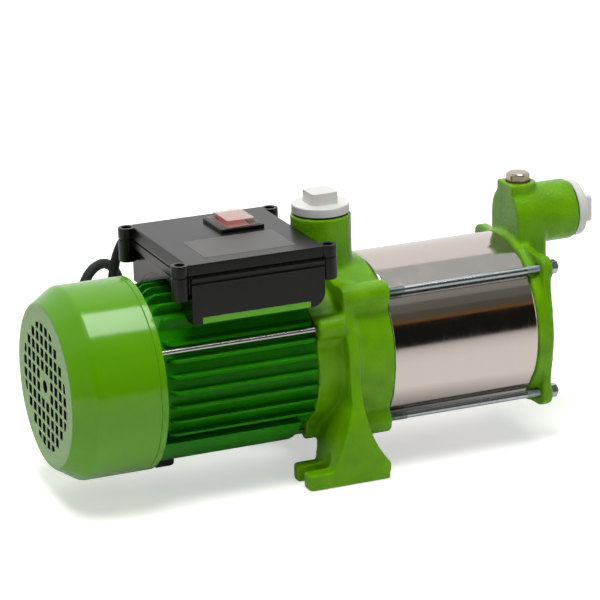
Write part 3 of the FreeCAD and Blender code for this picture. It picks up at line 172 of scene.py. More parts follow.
@dataclass(frozen=True)
class CastPaint(Finish):
    """Enamel over a sand casting: a lumpy skin under gloss, so small lights break up on it."""

    # Colour of the painted shade that the low places of the waves get.
    shade: str = "569400"
    lump_mm: float = 2.2
    lump_depth_mm: float = 0.7
    wave_mm: float = 15.4
    wave_height: float = 0.6
    relief: float = 0.85

    def pattern(self, tree: bpy.types.NodeTree, shader: bpy.types.Node) -> None:
        """Add the casting's lumps, its finer grain, and painted shade that darkens the colour in the
        low places of its waves.

        Args:
            tree: Node tree of the material.
            shader: Its main shader.
        """
        place = add_node(tree, "ShaderNodeTexCoord").outputs["Object"]
        lumps = add_node(
            tree,
            "ShaderNodeTexNoise",
            {"Vector": place, "Scale": per_metre(self.lump_mm), "Detail": 3.0, "Roughness": 0.55},
        )
        waves = add_node(
            tree,
            "ShaderNodeTexNoise",
            {"Vector": place, "Scale": per_metre(self.wave_mm), "Detail": 1.0},
        )
        height = add_node(
            tree,
            "ShaderNodeMath",
            {0: waves.outputs["Fac"], 1: self.wave_height, 2: lumps.outputs["Fac"]},
            operation="MULTIPLY_ADD",
        )
        bump = add_node(
            tree,
            "ShaderNodeBump",
            {
                "Height": height.outputs[0],
                "Distance": self.lump_depth_mm * MM,
                "Strength": self.relief,
            },
        )
        # Painted shade: where the waves are low, the colour turns to the shade colour.
        tone = add_node(
            tree,
            "ShaderNodeMix",
            {"Factor": waves.outputs["Fac"], "A": linear(self.shade), "B": linear(self.colour)},
            data_type="RGBA",
        )
        tree.links.new(tone.outputs["Result"], shader.inputs["Base Color"])
        tree.links.new(bump.outputs["Normal"], shader.inputs["Normal"])


@dataclass(frozen=True)
class SmoothPaint(Finish):
    """Enamel sprayed on pressed sheet: a mirror-like gloss that the paint's faint peel softens."""

    peel_mm: float = 4.0
    peel_depth_mm: float = 0.02
    relief: float = 0.6
    gloss_spread: tuple[float, float] = (0.8, 1.25)

    def pattern(self, tree: bpy.types.NodeTree, shader: bpy.types.Node) -> None:
        """Add the faint peel of sprayed paint and small changes of gloss.

        Args:
            tree: Node tree of the material.
            shader: Its main shader.
        """
        place = add_node(tree, "ShaderNodeTexCoord").outputs["Object"]
        peel = add_node(
            tree,
            "ShaderNodeTexNoise",
            {"Vector": place, "Scale": per_metre(self.peel_mm), "Detail": 2.0},
        )
        bump = add_node(
            tree,
            "ShaderNodeBump",
            {
                "Height": peel.outputs["Fac"],
                "Distance": self.peel_depth_mm * MM,
                "Strength": self.relief,
            },
        )
        low, high = (self.roughness * part for part in self.gloss_spread)
        gloss = add_node(
            tree, "ShaderNodeMapRange", {"Value": peel.outputs["Fac"], "To Min": low, "To Max": high}
        )
        tree.links.new(gloss.outputs["Result"], shader.inputs["Roughness"])
        tree.links.new(bump.outputs["Normal"], shader.inputs["Normal"])


@dataclass(frozen=True)
class PolishedTube(Finish):
    """Stainless tube polished as it turned: fine lines run round it and soften what it mirrors."""

    line_mm: float = 0.9
    line_depth_mm: float = 0.004
    line_stretch: float = 0.03
    cloud_mm: float = 14.0
    relief: float = 0.35
    pattern_range: tuple[float, float] = (0.1, 0.45)
    gloss_spread: tuple[float, float] = (0.6, 1.8)

    def pattern(self, tree: bpy.types.NodeTree, shader: bpy.types.Node) -> None:
        """Add the lines of the polishing belt, which run round the tube, and faint clouds.

        Args:
            tree: Node tree of the material.
            shader: Its main shader.
        """
        place = add_node(tree, "ShaderNodeTexCoord").outputs["Object"]
        stretch = (1.0, self.line_stretch, self.line_stretch)
        round_lines = add_node(tree, "ShaderNodeMapping", {"Vector": place, "Scale": stretch})
        lines = add_node(
            tree,
            "ShaderNodeTexNoise",
            {"Vector": round_lines.outputs["Vector"], "Scale": per_metre(self.line_mm), "Detail": 3.0},
        )
        clouds = add_node(
            tree,
            "ShaderNodeTexNoise",
            {"Vector": place, "Scale": per_metre(self.cloud_mm), "Detail": 4.0},
        )
        both = add_node(
            tree,
            "ShaderNodeMath",
            {0: lines.outputs["Fac"], 1: clouds.outputs["Fac"]},
            operation="MULTIPLY",
        )
        least, most = self.pattern_range
        low, high = (self.roughness * part for part in self.gloss_spread)
        gloss = add_node(
            tree,
            "ShaderNodeMapRange",
            {
                "Value": both.outputs[0],
                "From Min": least,
                "From Max": most,
                "To Min": low,
                "To Max": high,
            },
        )
        bump = add_node(
            tree,
            "ShaderNodeBump",
            {
                "Height": lines.outputs["Fac"],
                "Distance": self.line_depth_mm * MM,
                "Strength": self.relief,
            },
        )
        tree.links.new(gloss.outputs["Result"], shader.inputs["Roughness"])
        tree.links.new(bump.outputs["Normal"], shader.inputs["Normal"])


@dataclass(frozen=True)
class MottledMetal(Finish):
    """Plated or machined metal: small cloudy changes of gloss and a fine grain."""

    second: str = "8d979c"
    cloud_mm: float = 3.0
    grain_depth_mm: float = 0.02
    relief: float = 0.5
    gloss_spread: tuple[float, float] = (1.4, 0.6)

    def pattern(self, tree: bpy.types.NodeTree, shader: bpy.types.Node) -> None:
        """Add cloudy colour and gloss, and the grain of the metal below the plating.

        Args:
            tree: Node tree of the material.
            shader: Its main shader.
        """
        place = add_node(tree, "ShaderNodeTexCoord").outputs["Object"]
        clouds = add_node(
            tree,
            "ShaderNodeTexNoise",
            {"Vector": place, "Scale": per_metre(self.cloud_mm), "Detail": 4.0, "Roughness": 0.6},
        )
        tone = add_node(
            tree,
            "ShaderNodeMix",
            {"Factor": clouds.outputs["Fac"], "A": linear(self.second), "B": linear(self.colour)},
            data_type="RGBA",
        )
        low, high = (self.roughness * part for part in self.gloss_spread)
        gloss = add_node(
            tree, "ShaderNodeMapRange", {"Value": clouds.outputs["Fac"], "To Min": low, "To Max": high}
        )
        bump = add_node(
            tree,
            "ShaderNodeBump",
            {
                "Height": clouds.outputs["Fac"],
                "Distance": self.grain_depth_mm * MM,
                "Strength": self.relief,
            },
        )
        tree.links.new(tone.outputs["Result"], shader.inputs["Base Color"])
        tree.links.new(gloss.outputs["Result"], shader.inputs["Roughness"])
        tree.links.new(bump.outputs["Normal"], shader.inputs["Normal"])


@dataclass(frozen=True)
class MouldedPlastic(Finish):
    """Moulded or pressed surface: a fine grain from the mould breaks the light into a satin sheen."""

    grain_mm: float = 0.8
    grain_depth_mm: float = 0.05
    flow_mm: float = 45.0
    bleed: float = 0.0
    bleed_mm: float = 2.0
    relief: float = 0.7
    gloss_spread: tuple[float, float] = (0.85, 1.15)

    def pattern(self, tree: bpy.types.NodeTree, shader: bpy.types.Node) -> None:
        """Add the mould's grain, drawn coarser than the real 0.1 mm one so that it shows.

        Args:
            tree: Node tree of the material.
            shader: Its main shader.
        """
        place = add_node(tree, "ShaderNodeTexCoord").outputs["Object"]
        grain = add_node(
            tree,
            "ShaderNodeTexNoise",
            {"Vector": place, "Scale": per_metre(self.grain_mm), "Detail": 2.0, "Roughness": 0.7},
        )
        flow = add_node(
            tree,
            "ShaderNodeTexNoise",
            {"Vector": place, "Scale": per_metre(self.flow_mm), "Detail": 2.0},
        )
        low, high = (self.roughness * part for part in self.gloss_spread)
        gloss = add_node(
            tree, "ShaderNodeMapRange", {"Value": flow.outputs["Fac"], "To Min": low, "To Max": high}
        )
        bump = add_node(
            tree,
            "ShaderNodeBump",
            {
                "Height": grain.outputs["Fac"],
                "Distance": self.grain_depth_mm * MM,
                "Strength": self.relief,
            },
        )
        shader.inputs["Subsurface Weight"].default_value = self.bleed
        shader.inputs["Subsurface Scale"].default_value = self.bleed_mm * MM
        tree.links.new(gloss.outputs["Result"], shader.inputs["Roughness"])
        tree.links.new(bump.outputs["Normal"], shader.inputs["Normal"])


@dataclass(frozen=True)
class ClearVinyl(Finish):
    """Soft clear vinyl: a cloudy see-through skin that shows the rocker as a pink shape."""

    haze: float = 0.17
    # How milky the top is: painted sheen of the light that the top reflects.
    top_painted_sheen: float = 0.5
    top_mm: float = 191.0
    top_wall_mm: float = 1.2
    ripple_mm: float = 6.0
    ripple_depth_mm: float = 0.02
    relief: float = 0.3

    def pattern(self, tree: bpy.types.NodeTree, shader: bpy.types.Node) -> None:
        """Let light through the walls, make the top milky as a painted sheen of the light above it,
        and let the skin ripple.

        Args:
            tree: Node tree of the material.
            shader: Its main shader.
        """
        place = add_node(tree, "ShaderNodeTexCoord").outputs["Object"]
        split = add_node(tree, "ShaderNodeSeparateXYZ", {0: place})
        # Painted sheen: the top skin turns milky, as if it mirrored the light above.
        top_sheen = add_node(
            tree,
            "ShaderNodeMapRange",
            {
                "Value": split.outputs["Z"],
                "From Min": (self.top_mm - self.top_wall_mm) * MM,
                "From Max": self.top_mm * MM,
                "To Min": self.haze,
                "To Max": self.top_painted_sheen,
            },
        )
        tree.links.new(top_sheen.outputs["Result"], shader.inputs["Alpha"])
        ripple = add_node(
            tree,
            "ShaderNodeTexNoise",
            {"Vector": place, "Scale": per_metre(self.ripple_mm), "Detail": 1.0},
        )
        bump = add_node(
            tree,
            "ShaderNodeBump",
            {
                "Height": ripple.outputs["Fac"],
                "Distance": self.ripple_depth_mm * MM,
                "Strength": self.relief,
            },
        )
        tree.links.new(bump.outputs["Normal"], shader.inputs["Normal"])


@dataclass(frozen=True)
class StackedSheets(Finish):
    """Electrical sheet stacked along the shaft: the light on it breaks into soft bands."""

    radian_mm: float = 1.0
    groove_depth_mm: float = 0.1
    relief: float = 0.6

    def pattern(self, tree: bpy.types.NodeTree, shader: bpy.types.Node) -> None:
        """Add soft bands across the stack, one for a bundle of sheets: one of 0.5 mm would not show.

        Args:
            tree: Node tree of the material.
            shader: Its main shader.
        """
        place = add_node(tree, "ShaderNodeTexCoord").outputs["Object"]
        # The wave runs through 20 radians in one unit of its scale, so a band is 6.3 mm wide.
        bands = add_node(
            tree,
            "ShaderNodeTexWave",
            {"Vector": place, "Scale": per_metre(self.radian_mm) / 20, "Distortion": 0.3},
            wave_type="BANDS",
            bands_direction="X",
        )
        bump = add_node(
            tree,
            "ShaderNodeBump",
            {
                "Height": bands.outputs["Fac"],
                "Distance": self.groove_depth_mm * MM,
                "Strength": self.relief,
            },
        )
        tree.links.new(bump.outputs["Normal"], shader.inputs["Normal"])


# Finishes of this pump, each with what it gives the eye. A grain finer than half a millimetre would
# not show at the photograph's distance, so it is drawn as coarse as it needs to show.

# Sand casting under thick yellow green enamel: pitted, with broken soft lights and painted shade in
# its hollows.
BODY_GREEN = CastPaint("enamel_on_sand_casting", "7cbc00", 0.24, shine=0.2)
# Die casting under thin deep green enamel: even and satin, with painted shade in its broad hollows,
# nearly black between the fins.
MOTOR_GREEN = CastPaint(
    "enamel_on_die_casting",
    "268c00",
    0.28,
    shine=0.1,
    shade="187400",
    lump_mm=5.0,
    lump_depth_mm=0.1,
    wave_mm=35.0,
)
# Pressed sheet under sprayed enamel: smooth and wet looking, it mirrors the window with a clean edge.
COVER_GREEN = SmoothPaint("enamel_on_pressed_steel", "60a600", 0.14, shine=0.42)
# Painted shade inside the fan cover and on its slot walls: matt and near black, so the slots read as
# dark.
SHADE_INSIDE = MouldedPlastic("painted_shade_inside", "14160f", 0.8, grain_mm=2.0)
# Stainless tube polished on a belt: a warm mirror with fine lines round it.
SLEEVE_STEEL = PolishedTube("polished_stainless_tube", "cdc3bc", 0.1, metallic=1.0)
# Electroplated zinc: a bluish white metal with a cloudy, slightly dull shine.
ZINC = MottledMetal("zinc_plated_steel", "c9d2d6", 0.3, metallic=1.0)
# Ground steel: a clean bright bar with broad, faint changes of light.
BRIGHT_STEEL = MottledMetal(
    "ground_steel", "c4c4c2", 0.25, metallic=1.0, second="b0b0ae", cloud_mm=9.0, grain_depth_mm=0.008
)
# Nickel over brass: a yellowish grey metal, a little worn in patches.
NICKEL = MottledMetal("nickel_plated_brass", "cbc3b4", 0.3, metallic=1.0, second="a1967f")
# Copper wire under varnish: a brown red bundle, mottled darker as coarsely as thick wire.
COPPER = MottledMetal(
    "varnished_copper_wire", "b8693a", 0.35, metallic=1.0, second="8f4a24", cloud_mm=1.2
)
# Stacked electrical sheet: a dull grey metal with soft bands of light across it.
SHEETS = StackedSheets("stacked_electrical_sheet", "75726c", 0.45, metallic=1.0)
# Glass filled plastic, moulded: dark grey and dry, with the fibres dulling it.
STAGE_PLASTIC = MouldedPlastic("glass_filled_plastic", "222222", 0.5)
# ABS from a lightly etched mould: charcoal with broad satin lights.
BOX_PLASTIC = MouldedPlastic("moulded_abs_charcoal", "10110f", 0.26, shine=0.34, grain_mm=1.0)
# Polyester film: a flat grey field, duller than the lid.
LABEL_FILM = MouldedPlastic("satin_polyester_film", "525250", 0.4, grain_mm=0.5, grain_depth_mm=0.01)
# Green film: an even bright line.
STRIPE_FILM = MouldedPlastic("green_printed_film", "62b416", 0.4, grain_mm=0.6, grain_depth_mm=0.01)
# Nylon, moulded: black with a low sheen.
BLACK_PLASTIC = MouldedPlastic("moulded_black_nylon", "121213", 0.38)
# Polycarbonate, moulded: an even red with a soft gloss.
RED_PLASTIC = MouldedPlastic("moulded_red_plastic", "c32418", 0.3, grain_depth_mm=0.01)
# Polyethylene, moulded: a waxy white that lets a little light in.
WHITE_PLASTIC = MouldedPlastic(
    "moulded_white_polyethylene", "e3e3e1", 0.42, bleed=0.15, grain_depth_mm=0.02
)
# Uncoloured nylon: cream and satin.
CREAM_PLASTIC = MouldedPlastic("moulded_cream_nylon", "d8d0ba", 0.45)
# Moulded rubber: flat black with a coarse, dry skin.
RUBBER = MouldedPlastic("moulded_black_rubber", "171717", 0.6, grain_mm=1.2)
# Extruded rubber sheath: a greenish black with a dry skin.
CORD_RUBBER = MouldedPlastic(
    "extruded_cord_rubber", "2c302d", 0.6, shine=0.15, grain_mm=0.9, grain_depth_mm=0.06
)
# Pressed fibre: a dull red brown ring under the plug.
FIBRE = MouldedPlastic("pressed_red_fibre", "6a3a2c", 0.7, grain_mm=0.7)
# Fired ceramic, lapped: hard, smooth and off white.
CERAMIC = MouldedPlastic("fired_ceramic", "e9e4d6", 0.2, grain_depth_mm=0.005)
# Pressed carbon, lapped: black with a soft grey shine.
CARBON = MouldedPlastic("pressed_carbon", "1b1b1c", 0.35)
# Soft clear vinyl: walls like clouded glass, a milky top that is painted sheen, the red rocker pink
# below it.
VINYL = ClearVinyl("clear_soft_vinyl", "f1dcd6", 0.2, shine=0.4)


# Work on meshes


def let_go() -> None:
    """Leave edit mode and deselect everything."""
    if bpy.context.object and bpy.context.object.mode != "OBJECT":
        bpy.ops.object.mode_set(mode="OBJECT")
    bpy.ops.object.select_all(action="DESELECT")


def take(piece: bpy.types.Object) -> None:
    """Select one piece alone and make it active.

    Args:
        piece: Piece to work on.
    """
    let_go()
    piece.select_set(True)
    bpy.context.view_layer.objects.active = piece


@contextmanager
def edit(piece: bpy.types.Object, everything: bool = True) -> Iterator[None]:
    """Work in edit mode on one piece.

    Args:
        piece: Piece to edit.
        everything: Whether all of it starts selected.

    Yields:
        Nothing: the operators act on the piece.
    """
    take(piece)
    bpy.ops.object.mode_set(mode="EDIT")
    bpy.ops.mesh.select_mode(type="VERT")
    bpy.ops.mesh.select_all(action="SELECT" if everything else "DESELECT")
    yield
    bpy.ops.object.mode_set(mode="OBJECT")


def pick_faces(piece: bpy.types.Object, test: Callable[[Vector, Vector], bool]) -> int:
    """Select in edit mode the faces whose centre and normal pass a test.

    Args:
        piece: Piece in edit mode.
        test: Takes the centre in metres and the normal.

    Returns:
        How many faces are selected.
    """
    bpy.ops.mesh.select_mode(type="FACE")
    bpy.ops.mesh.select_all(action="DESELECT")
    mesh = bmesh.from_edit_mesh(piece.data)
    found = [face for face in mesh.faces if test(face.calc_center_median(), face.normal)]
    for face in found:
        face.select_set(True)
    bmesh.update_edit_mesh(piece.data)
    return len(found)


def pick_edges(piece: bpy.types.Object, test: Callable[[Vector, Vector], bool]) -> int:
    """Select in edit mode the edges whose two ends pass a test.

    Args:
        piece: Piece in edit mode.
        test: Takes both ends in metres.

    Returns:
        How many edges are selected.
    """
    bpy.ops.mesh.select_mode(type="EDGE")
    bpy.ops.mesh.select_all(action="DESELECT")
    mesh = bmesh.from_edit_mesh(piece.data)
    found = [edge for edge in mesh.edges if test(edge.verts[0].co, edge.verts[1].co)]
    for edge in found:
        edge.select_set(True)
    bmesh.update_edit_mesh(piece.data)
    return len(found)


def settle(piece: bpy.types.Object) -> None:
    """Put a piece's place, turn and size into its mesh."""
    take(piece)
    bpy.ops.object.transform_apply(location=True, rotation=True, scale=True)


def finish_with(piece: bpy.types.Object, name: str, kind: str, **settings: object) -> None:
    """Add a modifier to a piece, set it and apply it.

    Args:
        piece: Piece to change.
        name: Name of the modifier.
        kind: Blender's name of its type.
        settings: Properties of the modifier.
    """
    take(piece)
    modifier = piece.modifiers.new(name, kind)
    for key, value in settings.items():
        setattr(modifier, key, value)
    bpy.ops.object.modifier_apply(modifier=modifier.name)


def cut_away(piece: bpy.types.Object, cutter: bpy.types.Object) -> None:
    """Take a cutter's shape out of a piece, and the cutter out of the scene."""
    finish_with(piece, cutter.name, "BOOLEAN", operation="DIFFERENCE", object=cutter)
    bpy.data.objects.remove(cutter)


def smooth(piece: bpy.types.Object, degrees: float = 32.0) -> bpy.types.Object:
    """Shade a piece smooth, its sharp edges kept and its large faces flat up to their rounded edges.

    Args:
        piece: Piece to finish.
        degrees: Edges sharper than this stay sharp.

    Returns:
        The piece.
    """
    take(piece)
    bpy.ops.object.shade_smooth_by_angle(angle=math.radians(degrees))
    finish_with(piece, "large_faces_first", "WEIGHTED_NORMAL", weight=90, keep_sharp=True)
    return piece


def round_edges(
    piece: bpy.types.Object, width_mm: float, segments: int = 2, degrees: float = 30.0
) -> bpy.types.Object:
    """Round the sharp edges of a piece with a bevel that is applied.

    Args:
        piece: Piece to finish.
        width_mm: Width of the rounding.
        segments: Steps across it.
        degrees: Edges sharper than this are rounded.

    Returns:
        The piece.
    """
    finish_with(
        piece,
        "rounded_edges",
        "BEVEL",
        width=width_mm * MM,
        segments=segments,
        limit_method="ANGLE",
        angle_limit=math.radians(degrees),
        use_clamp_overlap=False,
    )
    return piece


def cast_skin(piece: bpy.types.Object, grain_mm: float, passes: int) -> bpy.types.Object:
    """Soften a casting as sand and thick enamel leave it: even facets all over, then smoothed.

    Args:
        piece: Closed piece to soften.
        grain_mm: Size of the even facets.
        passes: How often the facets are evened out with their neighbours.

    Returns:
        The piece.
    """
    finish_with(
        piece, "even_facets", "REMESH", mode="VOXEL", voxel_size=grain_mm * MM, use_smooth_shade=True
    )
    finish_with(piece, "soft_edges", "SMOOTH", factor=0.5, iterations=passes)
    return piece


def carried_over(node: str, name: str | None = None) -> bpy.types.Object:
    """Copy a CAD node's mesh into a new piece, its triangles merged into whole faces.

    Args:
        node: Name of the CAD node.
        name: Name of the new piece, or none for one made from the node's.

    Returns:
        The new piece.
    """
    piece = bpy.data.objects.new(name or node + "_dressed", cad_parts[node].data.copy())
    bpy.context.scene.collection.objects.link(piece)
    piece.data.materials.clear()
    take(piece)
    if piece.data.has_custom_normals:
        bpy.ops.mesh.customdata_custom_splitnormals_clear()
    with edit(piece):
        bpy.ops.mesh.remove_doubles(threshold=SAME_POINT)
        bpy.ops.mesh.dissolve_limited(angle_limit=math.radians(FLAT_DEGREES))
    return piece


def wear(piece: bpy.types.Object, finish: Finish, body: Body) -> bpy.types.Object:
    """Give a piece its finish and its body.

    Args:
        piece: Finished piece.
        finish: Finish that it gets all over.
        body: Body that it rides on.

    Returns:
        The piece.
    """
    piece.data.materials.clear()
    piece.data.materials.append(finish.material())
    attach(piece, body.value)
    faces = len(piece.data.polygons) if piece.type == "MESH" else 0
    log.info("%s: %d faces, %s", piece.name, faces, finish.name)
    return piece


def dress_copy(
    node: str,
    finish: Finish,
    edge: tuple[float, int, float],
    sharp: float,
    body: Body = Body.HOUSING,
) -> bpy.types.Object:
    """Dress a copy of a CAD node with rounded edges, and let it stand for the node.

    Args:
        node: Name of the CAD node.
        finish: Finish that the copy gets all over.
        edge: Width of the rounding in millimetres, its steps, and the angle over which an edge has it.
        sharp: Edges sharper than this angle are shaded sharp.
        body: Body that it rides on.

    Returns:
        The dressed copy.
    """
    width, segments, over = edge
    piece = smooth(round_edges(carried_over(node), width, segments, over), sharp)
    wear(piece, finish, body)
    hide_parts(node)
    return piece


def dress_nodes(finish: Finish, *nodes: str) -> None:
    """Give CAD nodes that stay as they are one finish.

    Args:
        finish: Finish that each gets.
        nodes: Names of the CAD nodes.
    """
    for node in nodes:
        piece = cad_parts[node]
        piece.data.materials.clear()
        piece.data.materials.append(finish.material())
        log.info("%s: CAD node in %s", node, finish.name)


def turned(
    name: str, outline: Sequence[tuple[float, float]], centre: Sequence[float], axis: Axis, steps: int
) -> bpy.types.Object:
    """Turn an outline round an axis: one point is extruded along the outline, then spun.

    Args:
        name: Name of the piece.
        outline: Distance from the axis and place along it, in millimetres, from end to end.
        centre: Point on the axis, in millimetres.
        axis: Direction of the axis.
        steps: Steps of the full turn.

    Returns:
        The closed piece at the origin.
    """
    along = Vector(axis.value)
    side = Vector((0, 0, 1)) if axis is not Axis.Z else Vector((1, 0, 0))
    middle = Vector(centre) * MM
    points = [middle + side * (radius * MM) + along * (place * MM) for radius, place in outline]
    let_go()
    bpy.ops.mesh.primitive_plane_add(size=MM, location=points[0])
    piece = bpy.context.object
    piece.name = piece.data.name = name
    settle(piece)
    with edit(piece):
        bpy.ops.mesh.merge(type="CENTER")
        for before, after in zip(points, points[1:]):
            bpy.ops.mesh.extrude_vertices_move(TRANSFORM_OT_translate={"value": after - before})
        bpy.ops.mesh.select_all(action="SELECT")
        bpy.ops.mesh.spin(steps=steps, angle=math.tau, center=middle, axis=along)
        bpy.ops.mesh.select_all(action="SELECT")
        bpy.ops.mesh.remove_doubles(threshold=1e-6)
        bpy.ops.mesh.normals_make_consistent(inside=False)
    return piece


def plate(
    name: str, low: Sequence[float], high: Sequence[float], corner_mm: float, edge_mm: float
) -> bpy.types.Object:
    """Make a flat plate with rounded corners and soft edges.

    Args:
        name: Name of the piece.
        low: Lowest corner in millimetres.
        high: Highest corner in millimetres.
        corner_mm: Radius of the corners seen along its thinnest direction.
        edge_mm: Rounding of its rims.

    Returns:
        The plate at the origin.
    """
    size = [b - a for a, b in zip(low, high)]
    thin = size.index(min(size))
    let_go()
    bpy.ops.mesh.primitive_cube_add(size=1, location=[(a + b) / 2 * MM for a, b in zip(low, high)])
    piece = bpy.context.object
    piece.name = piece.data.name = name
    piece.scale = [s * MM for s in size]
    settle(piece)
    with edit(piece):
        pick_edges(piece, lambda a, b: abs((b - a)[thin]) > 0.99 * (b - a).length)
        bpy.ops.mesh.bevel(offset=corner_mm * MM, segments=5, affect="EDGES")
    return round_edges(piece, edge_mm, 2)


def own_copy(piece: bpy.types.Object, name: str, move: Sequence[float]) -> bpy.types.Object:
    """Copy a piece with a mesh of its own, at another place.

    Args:
        piece: Piece to repeat.
        name: Name of the copy.
        move: How far it moves, in millimetres.

    Returns:
        The copy at the origin, its place in its mesh.
    """
    take(piece)
    bpy.ops.object.duplicate(linked=False)
    copy = bpy.context.object
    copy.name = copy.data.name = name
    with edit(copy):
        bpy.ops.transform.translate(value=Vector(move) * MM)
    return copy


def joined(pieces: Sequence[bpy.types.Object], name: str) -> bpy.types.Object:
    """Join pieces into the first one.

    Args:
        pieces: Pieces to join.
        name: Name of the result.

    Returns:
        The joined piece.
    """
    let_go()
    for piece in pieces:
        piece.select_set(True)
    bpy.context.view_layer.objects.active = pieces[0]
    bpy.ops.object.join()
    pieces[0].name = pieces[0].data.name = name
    return pieces[0]


# Camera, floor and light


@dataclass(frozen=True)
class Card:
    """Curved card above the pump that only mirrors see.

    Its arc runs from the front horizon upwards, in degrees seen from the pump; its radius and its
    reach along the pump are in metres.
    """

    name: str
    start: float
    stop: float
    colour: str
    strength: float = 1.0
    radius: float = 5.0
    left: float = -6.0
    right: float = 6.0

    def hang(self) -> None:
        """Spin a straight line into the card, light it and hide it from all but mirrors."""
        let_go()
        start, stop = math.radians(self.start), math.radians(self.stop)
        first = Vector((self.left, -self.radius * math.cos(start), self.radius * math.sin(start)))
        bpy.ops.mesh.primitive_plane_add(size=MM, location=first)
        card = bpy.context.object
        card.name = card.data.name = self.name
        settle(card)
        with edit(card):
            bpy.ops.mesh.merge(type="CENTER")
            across = (self.right - self.left, 0, 0)
            bpy.ops.mesh.extrude_vertices_move(TRANSFORM_OT_translate={"value": across})
            bpy.ops.mesh.select_all(action="SELECT")
            bpy.ops.mesh.spin(steps=16, angle=stop - start, center=(0, 0, 0), axis=(1, 0, 0))
        made = bpy.data.materials.new(self.name + "_cloth")
        tree = empty_tree(made)
        light = {"Color": linear(self.colour), "Strength": self.strength}
        glow = add_node(tree, "ShaderNodeEmission", light)
        add_node(tree, "ShaderNodeOutputMaterial", {"Surface": glow.outputs[0]})
        card.data.materials.append(made)
        card.visible_camera = card.visible_diffuse = card.visible_shadow = False


@dataclass(frozen=True)
class SoftBox:
    """Square soft box that faces the pump and shows in no mirror: metres and watts."""

    name: str
    place: tuple[float, float, float]
    side: float
    power: float
    colour: str = "fffdf8"
    aim: tuple[float, float, float] = (0.0, 0.0, 0.1)

    def hang(self) -> None:
        """Place the lamp and turn it to the pump."""
        let_go()
        turn = (Vector(self.aim) - Vector(self.place)).to_track_quat("-Z", "Y").to_euler()
        bpy.ops.object.light_add(type="AREA", location=self.place, rotation=turn)
        lamp = bpy.context.object
        lamp.name = self.name
        lamp.data.size = self.side
        lamp.data.energy = self.power
        lamp.data.color = linear(self.colour)[:3]
        lamp.visible_camera = lamp.visible_glossy = False


